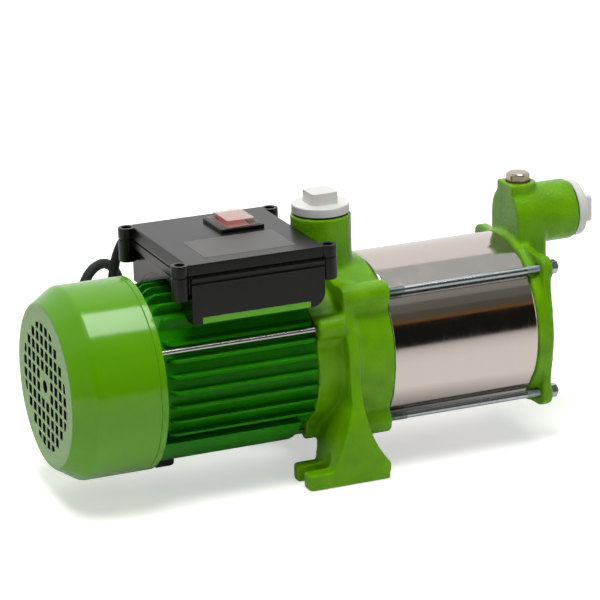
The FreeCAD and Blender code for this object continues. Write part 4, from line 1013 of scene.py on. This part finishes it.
@dataclass
class Studio:
    """Pale studio round the pump, with the camera where the photograph was taken from.

    The camera's target and distance are in millimetres, its angles in degrees, the floor in metres.
    """

    target: tuple[float, float, float] = (-3.0, 0.0, 129.8)
    distance: float = 2270.2
    azimuth: float = -22.7
    elevation: float = 17.3
    roll: float = -1.5
    lens: float = 180.0
    shift: tuple[float, float] = (-0.0038, -0.0132)
    floor_side: float = 60.0
    floor_gap: float = 0.0002
    lift_reach: tuple[float, float] = (0.6, 2.5)
    lift_strength: tuple[float, float] = (0.5, 1.0)
    # Painted shadow of the pump on the floor, seen only in mirrors: its squeeze, reach and strength.
    painted_shadow_squeeze: tuple[float, float, float] = (3.2, 11.0, 0.0)
    painted_shadow_reach: tuple[float, float] = (0.35, 1.1)
    painted_shadow_strength: tuple[float, float] = (0.05, 0.97)
    front_reach: tuple[float, float] = (-1.7, -0.2)
    front_strength: tuple[float, float] = (0.03, 1.0)
    room_light: float = 0.18
    cards: tuple[Card, ...] = (
        Card("dark_room_card", -1.0, 28.0, "1c1c18"),
        Card("warm_lamp_card", 28.0, 32.0, "7a5630"),
        Card("dim_wall_card", 32.0, 42.0, "5a584e"),
        Card("wall_card", 42.0, 54.0, "6c6c66"),
        Card("light_wall_card", 54.0, 66.0, "90928e"),
        Card("ceiling_card", 66.0, 112.0, "c4cacb"),
        Card("window_card", 69.0, 100.0, "ffffff", strength=9.0, radius=3.0, left=0.2, right=0.95),
    )
    lamps: tuple[SoftBox, ...] = (
        SoftBox("key_lamp", (-0.4, -0.35, 2.75), 1.1, 54.0),
        SoftBox("fill_lamp", (1.2, -2.4, 1.1), 1.6, 7.56),
        SoftBox("back_lamp", (0.6, 2.2, 1.8), 1.4, 32.4),
    )

    def camera(self) -> None:
        """Place the camera by its fitted angles."""
        a, e, r = (math.radians(v) for v in (self.azimuth, self.elevation, self.roll))
        back = Vector((math.sin(a) * math.cos(e), -math.cos(a) * math.cos(e), math.sin(e)))
        level = Vector((math.cos(a), math.sin(a), 0))
        upward = back.cross(level)
        right = level * math.cos(r) + upward * math.sin(r)
        up = upward * math.cos(r) - level * math.sin(r)
        place = Matrix.Translation((Vector(self.target) + back * self.distance) * MM)
        let_go()
        bpy.ops.object.camera_add()
        camera = bpy.context.object
        camera.matrix_world = place @ Matrix((right, up, back)).transposed().to_4x4()
        camera.data.lens = self.lens
        camera.data.sensor_width = 36.0
        camera.data.shift_x, camera.data.shift_y = self.shift
        camera.data.clip_start = 0.05
        camera.data.clip_end = 100.0
        bpy.context.scene.camera = camera

    def floor(self) -> None:
        """Lay a wide pale floor that shows as white and keeps the pump's shadow."""
        let_go()
        bpy.ops.mesh.primitive_plane_add(size=self.floor_side, location=(0, 0, -self.floor_gap))
        floor = bpy.context.object
        floor.name = "studio_floor"
        settle(floor)
        made = bpy.data.materials.new("pale_studio_floor")
        tree = empty_tree(made)
        path = add_node(tree, "ShaderNodeLightPath")
        matt = add_node(tree, "ShaderNodeBsdfDiffuse", {"Color": linear("f0efed")})
        shown_light = {"Color": linear("ffffff"), "Strength": self.floor_lift(tree)}
        glow = add_node(tree, "ShaderNodeEmission", shown_light)
        shown = add_node(tree, "ShaderNodeAddShader", {0: matt.outputs[0], 1: glow.outputs[0]})
        by_camera = {0: path.outputs["Is Camera Ray"], 1: matt.outputs[0], 2: shown.outputs[0]}
        lit = add_node(tree, "ShaderNodeMixShader", by_camera)
        # In mirrors the floor glows, with a painted shadow under the pump.
        mirrored_light = {"Color": linear("fffdfa"), "Strength": self.mirrored_floor(tree)}
        mirrored = add_node(tree, "ShaderNodeEmission", mirrored_light)
        by_mirror = {0: path.outputs["Is Glossy Ray"], 1: lit.outputs[0], 2: mirrored.outputs[0]}
        surface = add_node(tree, "ShaderNodeMixShader", by_mirror)
        add_node(tree, "ShaderNodeOutputMaterial", {"Surface": surface.outputs[0]})
        floor.data.materials.append(made)

    def floor_lift(self, tree: bpy.types.NodeTree) -> bpy.types.NodeSocket:
        """Give the light that lifts the floor to white: half by the pump, all of it far away.

        Args:
            tree: Node tree of the floor.

        Returns:
            The strength of the light.
        """
        place = add_node(tree, "ShaderNodeTexCoord").outputs["Object"]
        away = add_node(tree, "ShaderNodeVectorMath", {0: place}, operation="LENGTH")
        near, far = self.lift_reach
        by_pump, far_off = self.lift_strength
        lift = add_node(
            tree,
            "ShaderNodeMapRange",
            {
                "Value": away.outputs["Value"],
                "From Min": near,
                "From Max": far,
                "To Min": by_pump,
                "To Max": far_off,
            },
        )
        return lift.outputs["Result"]

    def mirrored_floor(self, tree: bpy.types.NodeTree) -> bpy.types.NodeSocket:
        """Give the floor's light in mirrors: a painted shadow dark right under the pump, and the light
        fading out to the front.

        Args:
            tree: Node tree of the floor.

        Returns:
            The strength of the light.
        """
        place = add_node(tree, "ShaderNodeTexCoord").outputs["Object"]
        near = add_node(tree, "ShaderNodeMapping", {"Vector": place, "Scale": self.painted_shadow_squeeze})
        reach = add_node(tree, "ShaderNodeVectorMath", {0: near.outputs["Vector"]}, operation="LENGTH")
        split = add_node(tree, "ShaderNodeSeparateXYZ", {0: place})
        # Painted shadow under the pump, and the fade of the light to the front.
        ramps = (
            (reach.outputs["Value"], self.painted_shadow_reach, self.painted_shadow_strength),
            (split.outputs["Y"], self.front_reach, self.front_strength),
        )
        under, front = (
            add_node(
                tree,
                "ShaderNodeMapRange",
                {"Value": value, "From Min": start, "From Max": stop, "To Min": low, "To Max": high},
            )
            for value, (start, stop), (low, high) in ramps
        )
        both = {0: under.outputs["Result"], 1: front.outputs["Result"]}
        return add_node(tree, "ShaderNodeMath", both, operation="MULTIPLY").outputs[0]

    @staticmethod
    def seen(tree: bpy.types.NodeTree) -> bpy.types.NodeSocket:
        """Give 1 for rays from the camera, from mirrors and through glass.

        Args:
            tree: Node tree of the world.

        Returns:
            The socket that holds it.
        """
        path = add_node(tree, "ShaderNodeLightPath")
        found = path.outputs["Is Camera Ray"]
        for ray in ("Is Glossy Ray", "Is Transmission Ray"):
            either = {0: found, 1: path.outputs[ray]}
            found = add_node(tree, "ShaderNodeMath", either, operation="MAXIMUM").outputs[0]
        return found

    def world(self) -> None:
        """Light the room evenly and show it white behind the pump."""
        world = bpy.data.worlds.new("studio")
        tree = empty_tree(world)
        room_light = {"Color": linear("e9edf2"), "Strength": self.room_light}
        room = add_node(tree, "ShaderNodeBackground", room_light)
        white = add_node(tree, "ShaderNodeBackground", {"Color": linear("ffffff"), "Strength": 1.0})
        by_ray = {0: self.seen(tree), 1: room.outputs[0], 2: white.outputs[0]}
        mixed = add_node(tree, "ShaderNodeMixShader", by_ray)
        add_node(tree, "ShaderNodeOutputWorld", {"Surface": mixed.outputs[0]})
        bpy.context.scene.world = world

    def build(self) -> None:
        """Set up the camera, the floor, the room and the lamps."""
        bpy.context.scene.view_settings.view_transform = "Standard"
        self.camera()
        self.floor()
        self.world()
        for piece in self.cards + self.lamps:
            piece.hang()
            log.info("%s hung", piece.name)


# Cord


@dataclass
class SupplyCord:
    """Mains cord from the gland, down behind the motor, over one free loop and into a flat coil."""

    diameter: float = 8.0
    length: float = 1.66
    exit: tuple[float, float, float] = (-98.0, 90.0, 160.0)
    end: tuple[float, float, float] = (49.0, 130.0, 18.3)
    route: list[tuple[float, float, float]] = field(
        default_factory=lambda: [
            (-98, 90, 160), (-98, 118, 160), (-102, 139, 139), (-108, 139, 108), (-112, 134, 80),
            (-111, 128, 52), (-110, 124, 24), (-90, 119, 4.3), (-58, 117, 4.3), (-24, 115, 4.3),
            (12, 117, 4.3), (30, 134, 4.3), (30, 158, 4.3), (12, 175, 4.3), (-18, 178, 4.3),
            (-46, 177, 4.3), (-72, 175, 4.3), (-92, 173, 24), (-92, 171, 54), (-91, 169, 82),
            (-90, 168, 109), (-104, 157, 127), (-124, 141, 127), (-138, 130, 109), (-140, 128, 80),
            (-139, 128, 52), (-139, 129, 24), (-137, 149, 4.3), (-132, 178, 4.3), (-124, 214, 4.3),
            (-106, 256, 4.3), (-72, 286, 4.3), (-40, 287.5, 4.3),
        ]
    )
    coil: list[tuple[float, float, float]] = field(
        default_factory=lambda: [
            (-13, 288, 4.3), (13, 286.5, 4.3), (34.5, 273.5, 4.3), (47, 252, 4.3), (47.5, 227, 4.3),
            (35.5, 204.5, 4.3), (13, 191, 4.3), (-13, 190.5, 4.3), (-34.5, 203, 4.3), (-46, 225, 4.3),
            (-45, 249, 4.3), (-33, 269, 4.3),
            (-12, 279, 4.3), (11, 278, 4.3), (29.5, 266.5, 4.3), (39, 248, 4.3), (38, 228, 4.3),
            (27.5, 210.5, 4.3), (10, 201, 4.3), (-10.5, 200.5, 4.3), (-27, 210.5, 4.3),
            (-36.5, 228, 4.3), (-35.5, 247.5, 4.3), (-25, 263.5, 4.3),
            (-8, 271.5, 4.3), (8, 268, 8.5), (22, 258, 13), (34, 246, 13.3), (46, 232, 12.8),
            (51, 218, 6.5),
        ]
    )
    tail: list[tuple[float, float, float]] = field(
        default_factory=lambda: [
            (49, 200, 4.3), (48, 178, 4.3), (49, 158, 17.5), (49, 144, 18.3), (49, 130, 18.3)
        ]
    )
    grip_ribs: int = 7
    grip_start: float = 26.0
    grip_radius: float = 5.0
    rib_pitch: float = 3.6
    rib_growth: float = 0.32
    tie_centre: tuple[float, float, float] = (-42.5, 238.0, 4.76)
    tie_ring: float = 6.4
    tie_strand: float = 0.9
    tie_stretch: tuple[float, float, float] = (1.5, 3.2, 0.645)

    def line(self, points: Sequence[Sequence[float]]) -> bpy.types.Object:
        """Draw the cord as one round NURBS line through its route.

        Args:
            points: Route points in millimetres.

        Returns:
            The curve.
        """
        curve = bpy.data.curves.new("mains_cord", "CURVE")
        curve.dimensions = "3D"
        curve.bevel_depth = self.diameter / 2 * MM
        curve.bevel_resolution = 5
        curve.resolution_u = 10
        curve.use_fill_caps = True
        spline = curve.splines.new("NURBS")
        spline.points.add(len(points) - 1)
        for target, point in zip(spline.points, points):
            target.co = (*[v * MM for v in point], 1.0)
        spline.order_u = 3
        spline.use_endpoint_u = True
        cord = bpy.data.objects.new("mains_cord", curve)
        bpy.context.scene.collection.objects.link(cord)
        return cord

    def plug(self) -> bpy.types.Object:
        """Turn the moulded plug with its ribbed, tapering grip.

        Returns:
            The plug.
        """
        outline = [(self.diameter / 2 + 0.05, 27.5), (4.9, 27.5)]
        for rib in range(self.grip_ribs):
            start = self.grip_start - rib * self.rib_pitch
            wide = self.grip_radius + rib * self.rib_growth
            outline += [(wide, start), (wide + 0.1, start - 2.0)]
            outline += [(wide - 0.75, start - 2.3), (wide - 0.6, start - 3.3)]
        outline += [
            (7.0, 0.4), (7.1, -4.0), (8.0, -8.0), (9.4, -13.5), (11.2, -18.0), (14.6, -22.6),
            (17.4, -25.4), (18.0, -27.5), (18.0, -39.5), (17.6, -42.4), (16.6, -43.8), (14.8, -44.0),
            (14.4, -43.2), (0.0, -43.2),
        ]
        plug = turned("moulded_plug", outline, self.end, Axis.Y, 40)
        with edit(plug, False):
            bpy.ops.mesh.select_non_manifold()
            bpy.ops.mesh.edge_face_add()
            bpy.ops.mesh.select_all(action="SELECT")
            bpy.ops.mesh.normals_make_consistent(inside=False)
        return smooth(plug, 50)

    def tie(self) -> bpy.types.Object:
        """Wrap a narrow strap round the two turns of the coil.

        Returns:
            The strap.
        """
        centre = Vector(self.tie_centre) * MM
        let_go()
        bpy.ops.mesh.primitive_torus_add(
            location=centre,
            rotation=(math.pi / 2, 0, 0),
            major_radius=self.tie_ring * MM,
            minor_radius=self.tie_strand * MM,
            major_segments=32,
            minor_segments=10,
        )
        tie = bpy.context.object
        tie.name = tie.data.name = "coil_tie"
        settle(tie)
        with edit(tie):
            bpy.ops.transform.resize(value=self.tie_stretch, center_override=centre)
        return smooth(tie, 60)

    def build(self) -> None:
        """Lay the cord, mould its plug and strap its coil."""
        cord = self.line(self.route + self.coil + self.tail)
        wear(cord, CORD_RUBBER, Body.HOUSING)
        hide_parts("supply_cord", "cord_coil", "cord_tail")
        plug = wear(self.plug(), CORD_RUBBER, Body.HOUSING)
        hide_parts("mains_plug")
        pins = carried_over("plug_pins", "plug_pin_pair")
        wear(smooth(pins), NICKEL, Body.HOUSING)
        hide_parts("plug_pins")
        tie = wear(self.tie(), BLACK_PLASTIC, Body.HOUSING)


# Castings of the pump end


@dataclass
class Castings:
    """Body and head castings, their edges softened as sand casting and thick enamel leave them."""

    facet_mm: float = 1.3
    passes: int = 4
    face_plate_front: float = 177.9
    riser_front: float = 194.5
    riser_bottom: float = 132.0
    wall_corner: float = 1.0
    wall_rim: float = 0.2

    def riser_walls(self) -> list[bpy.types.Object]:
        """Make the walls that close the water passage below the discharge neck.

        Returns:
            The face plate's wall, then the riser's floor and front wall.
        """
        face, front, low = self.face_plate_front, self.riser_front, self.riser_bottom
        walls = {
            "face_wall": ((face - 5.5, -13.0, low - 17.0), (face, 13.0, low + 4.0)),
            "riser_floor": ((face - 3.0, -15.0, low), (front - 1.0, 15.0, low + 6.0)),
            "riser_wall": ((front - 5.0, -9.0, low + 0.5), (front, 9.0, low + 16.0)),
        }
        return [
            plate(name, lowest, highest, self.wall_corner, self.wall_rim)
            for name, (lowest, highest) in walls.items()
        ]

    def build(self) -> None:
        """Dress the two castings."""
        for node in ("pump_body", "pump_head"):
            piece = carried_over(node)
            if node == "pump_head":
                piece = joined([piece, *self.riser_walls()], piece.name)
            piece = cast_skin(piece, self.facet_mm, self.passes)
            wear(piece, BODY_GREEN, Body.HOUSING)
            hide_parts(node)


@dataclass
class SleeveAndStages:
    """Polished sleeve with its rolled ends, and the pumping stages that it hides."""

    def build(self) -> None:
        """Dress the sleeve and the pieces inside it."""
        sleeve = smooth(carried_over("outer_sleeve"), 40)
        wear(sleeve, SLEEVE_STEEL, Body.HOUSING)
        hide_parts("outer_sleeve")
        dress_nodes(RUBBER, "sleeve_o_rings")
        dress_nodes(STAGE_PLASTIC, "stage_casings", "impellers")
        dress_nodes(BRIGHT_STEEL, "impeller_spacers", "impeller_nut")
        dress_nodes(CERAMIC, "seal_seat")
        dress_nodes(CARBON, "seal_rotor")


@dataclass
class TieRods:
    """Four zinc plated rods with rolled threads at both ends, their nuts and washers."""

    circle: float = 70.5
    axis_height: float = 87.0
    thread_radius: float = 3.0
    root_radius: float = 2.5
    shank_radius: float = 2.65
    pitch: float = 1.0
    crest_span: tuple[float, float] = (0.45, 0.6)
    back: float = 16.0
    back_thread: tuple[float, float] = (44.0, 59.0)
    front_thread: tuple[float, float] = (161.7, 187.2)
    front: float = 188.2

    def thread(self, start: float, stop: float) -> list[tuple[float, float]]:
        """Outline one even groove for each turn of a thread.

        Args:
            start: Where the thread starts along the rod.
            stop: Where it stops.

        Returns:
            Points of the outline.
        """
        root, crest = self.root_radius, self.thread_radius
        rise, fall = self.crest_span
        points = []
        for turn in range(int((stop - start) / self.pitch)):
            x = start + turn * self.pitch
            points += [(root, x), (crest, x + rise), (crest, x + fall)]
        return points + [(root, stop)]

    def rod(self) -> bpy.types.Object:
        """Turn one rod on the shaft line, with threads at both ends.

        Returns:
            The rod.
        """
        root, crest = self.root_radius, self.thread_radius
        back_start, back_stop = self.back_thread
        front_start, front_stop = self.front_thread
        outline = [(0.0, self.back), (root, self.back), (root, back_start - 0.4)]
        outline += self.thread(back_start, back_stop)
        outline += [(self.shank_radius, back_stop + 0.4), (crest, front_start - 0.4)]
        outline += self.thread(front_start, front_stop)
        outline += [(self.shank_radius, front_stop + 0.4), (root, self.front - 0.3)]
        outline += [(root - 0.5, self.front), (0.0, self.front)]
        return smooth(turned("tie_rod", outline, (0, 0, self.axis_height), Axis.X, 20), 40)

    def build(self) -> None:
        """Turn one rod, repeat it four times, and dress nuts and washers."""
        first = self.rod()
        rods = []
        for step in range(4):
            turn = math.radians(45 + 90 * step)
            move = (0.0, -self.circle * math.cos(turn), self.circle * math.sin(turn))
            rods.append(own_copy(first, f"tie_rod_{step}", move))
        bpy.data.objects.remove(first)
        rods = joined(rods, "threaded_tie_rods")
        wear(rods, ZINC, Body.HOUSING)
        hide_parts("pump_tie_rods")
        for node in ("pump_tie_nuts", "pump_tie_washers"):
            dress_copy(node, ZINC, (0.35, 2, 40.0), 35)


@dataclass(frozen=True)
class Thread:
    """Outside thread of a plug: where its shank is, and the pipe thread cut into it.

    The root of a groove and the start of the next crest are parts of the pitch. The cutter's crests
    stand a skin's width off the shank, and its back is clear of it.
    """

    centre: tuple[float, float, float]
    axis: Axis
    start: float
    stop: float
    radius: float
    pitch: float
    depth: float
    root_span: tuple[float, float] = (0.42, 0.56)
    crest_start: float = 0.98
    skin: float = 0.02
    clearance: float = 1.5

    def cut(self, plug: bpy.types.Object) -> None:
        """Cut one even groove for each turn of the thread.

        Args:
            plug: Closed plug with a plain shank.
        """
        crest, root = self.radius + self.skin, self.radius - self.depth
        clear = self.radius + self.clearance
        first, last = self.root_span
        outline = [(clear, self.start), (crest, self.start)]
        for turn in range(int((self.stop - self.start) / self.pitch)):
            place = self.start + turn * self.pitch
            outline += [(root, place + first * self.pitch), (root, place + last * self.pitch)]
            outline.append((crest, place + self.crest_start * self.pitch))
        outline += [(clear, outline[-1][1]), outline[0]]
        cut_away(plug, turned("thread_comb", outline, self.centre, self.axis, 64))


@dataclass
class Plugs:
    """White transit caps in both ports, their gaskets and the hexagonal priming plug."""

    suction: Thread = Thread((13.5, 0.0, 0.0), Axis.Z, 179.7, 189.9, 14.9, 2.309, 1.0)
    discharge: Thread = Thread((0.0, 0.0, 166.0), Axis.X, 210.9, 221.1, 14.9, 2.309, 1.0)
    priming: Thread = Thread((180.0, 0.0, 0.0), Axis.Z, 185.0, 193.2, 6.5, 1.337, 0.6)

    def build(self) -> None:
        """Dress the caps, the gaskets and the plug."""
        caps = (
            ("suction_plug", Body.SUCTION_CAP, self.suction),
            ("discharge_plug", Body.DISCHARGE_CAP, self.discharge),
        )
        for node, body, thread in caps:
            cap = round_edges(carried_over(node), 0.5, 2, 40.0)
            thread.cut(cap)
            wear(smooth(cap, 35), WHITE_PLASTIC, body)
            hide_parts(node)
        dress_nodes(RUBBER, "suction_gasket", "discharge_gasket")
        plug = round_edges(carried_over("priming_plug"), 0.4, 2, 40.0)
        self.priming.cut(plug)
        wear(smooth(plug, 30), NICKEL, Body.PRIMING_CAP)
        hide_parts("priming_plug")
        dress_nodes(FIBRE, "priming_washer")


# Motor


@dataclass
class Motor:
    """Finned motor frame with its shields, rods, fan and cover."""

    axis_height: float = 87.0
    cover_back: float = -210.0
    cover_radius: float = 72.8
    grille_radius: float = 59.0
    grille_depth: float = 5.0
    bowl_depth: float = 14.0
    wall: float = 2.2

    def inside_cover(self, centre: Vector, normal: Vector) -> bool:
        """Tell whether a face of the fan cover looks inwards or into a slot.

        Args:
            centre: Middle of the face, in metres.
            normal: Its normal.

        Returns:
            Whether the painted shade covers it.
        """
        out = Vector((0, centre.y / MM, centre.z / MM - self.axis_height))
        deep = centre.x / MM - self.cover_back
        back = normal.x > 0.5 and deep < self.bowl_depth
        slot = out.length < self.grille_radius and normal.x > -0.95 and deep < self.grille_depth
        inwards = out.length > 0 and normal.dot(out.normalized()) < -0.3
        return back or slot or (inwards and out.length < self.cover_radius - 1 and deep > self.wall)

    def fan_cover(self) -> None:
        """Dress the fan cover: enamel outside, painted shade inside and in the slots."""
        cover = dress_copy("fan_cover", COVER_GREEN, (0.3, 2, 40.0), 40)
        # The faces inside the cover and in its slots get the near black painted shade.
        cover.data.materials.append(SHADE_INSIDE.material())
        with edit(cover, False):
            inner = pick_faces(cover, self.inside_cover)
            cover.active_material_index = 1
            bpy.ops.object.material_slot_assign()
        log.info("%s: %d faces in primer", cover.name, inner)

    def build(self) -> None:
        """Dress the motor's outside, then what it hides."""
        dress_copy("motor_frame", MOTOR_GREEN, (0.7, 2, 35.0), 40)
        dress_copy("rear_endshield", MOTOR_GREEN, (0.6, 2, 35.0), 40)
        self.fan_cover()
        dress_copy("motor_tie_rods", BRIGHT_STEEL, (0.3, 2, 40.0), 35)
        dress_copy("rear_bumper", RUBBER, (0.6, 2, 35.0), 35)
        dress_nodes(SHEETS, "stator_core", "rotor_core")
        dress_nodes(COPPER, "stator_windings")
        dress_nodes(BRIGHT_STEEL, "shaft", "fan_clip", "rear_bearing_outer", "rear_bearing_inner")
        dress_nodes(BRIGHT_STEEL, "front_bearing_outer", "front_bearing_inner")
        dress_nodes(STAGE_PLASTIC, "fan")


# Terminal box and switch


@dataclass
class TerminalBox:
    """Charcoal box with its lid, screws, bare label and plain stripe."""

    lid_top: float = 183.0
    front_wall: float = -63.0
    label: tuple[float, float, float, float] = (-99.0, -27.0, -48.0, -2.0)
    stripe: tuple[float, float, float, float] = (-107.8, -22.8, 138.4, 143.0)
    film: float = 0.12
    screws_x: tuple[float, float] = (-121.75, -5.25)
    screws_y: tuple[float, float] = (-55.9, 55.9)
    screw_seat: float = 178.0
    recess_half: tuple[float, float] = (1.9, 0.4)
    recess_floor: float = 0.9

    def label_field(self) -> None:
        """Stick the bare label on the lid."""
        x0, x1, y0, y1 = self.label
        top = self.lid_top
        film = plate("bare_label", (x0, y0, top - 0.05), (x1, y1, top + self.film), 1.5, 0.05)
        wear(smooth(film), LABEL_FILM, Body.HOUSING)

    def front_stripe(self) -> None:
        """Put the plain green stripe along the lower edge of the front."""
        x0, x1, z0, z1 = self.stripe
        wall = self.front_wall
        film = plate("plain_stripe", (x0, wall - self.film, z0), (x1, wall + 0.05, z1), 0.6, 0.04)
        wear(smooth(film), STRIPE_FILM, Body.HOUSING)

    def screw_head(self) -> bpy.types.Object:
        """Turn one pan head and cut a cross recess into it.

        Returns:
            The head, above the origin.
        """
        seat = self.screw_seat
        long, short = self.recess_half
        outline = [(0.0, 2.3), (1.4, 2.2), (2.4, 1.95), (3.0, 1.5), (3.2, 0.9), (3.2, 0.0), (0.0, 0.0)]
        head = turned("screw_head", outline, (0, 0, seat), Axis.Z, 24)
        low, high = seat + self.recess_floor, seat + 3.0
        for x, y in ((long, short), (short, long)):
            cut_away(head, plate("recess_bar", (-x, -y, low), (x, y, high), 0.1, 0.05))
        return smooth(head, 35)

    def build(self) -> None:
        """Dress the box and what is on it."""
        dress_copy("terminal_box", BOX_PLASTIC, (0.6, 2, 35.0), 35)
        dress_copy("terminal_lid", BOX_PLASTIC, (0.7, 2, 35.0), 35)
        dress_nodes(RUBBER, "lid_gasket")
        self.label_field()
        self.front_stripe()
        head = self.screw_head()
        corners = [(x, y) for x in self.screws_x for y in self.screws_y]
        heads = [own_copy(head, f"screw_{n}", (x, y, 0)) for n, (x, y) in enumerate(corners)]
        bpy.data.objects.remove(head)
        heads = joined(heads, "lid_screw_heads")
        wear(heads, ZINC, Body.HOUSING)
        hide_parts("lid_screws")
        dress_nodes(CREAM_PLASTIC, "run_capacitor", "terminal_block")
        dress_copy("cable_gland", BLACK_PLASTIC, (0.4, 2, 35.0), 35)
        dress_nodes(BLACK_PLASTIC, "gland_nut")


@dataclass
class Switch:
    """Red rocker in a black frame under a clear splash hood."""

    def build(self) -> None:
        """Dress frame, rocker and hood."""
        dress_copy("switch_bezel", BLACK_PLASTIC, (0.4, 2, 35.0), 35)
        dress_copy("switch_rocker", RED_PLASTIC, (0.5, 3, 35.0), 35, Body.ROCKER)
        dress_copy("switch_boot", VINYL, (0.5, 3, 35.0), 35)


def main() -> None:
    """Build the studio, then every sub-assembly."""
    logging.basicConfig(level=logging.INFO, format="%(name)s: %(message)s")
    Studio().build()
    SupplyCord().build()
    for part in (Castings(), SleeveAndStages(), TieRods(), Plugs(), Motor(), TerminalBox(), Switch()):
        part.build()


if __name__ == "__main__":
    main()
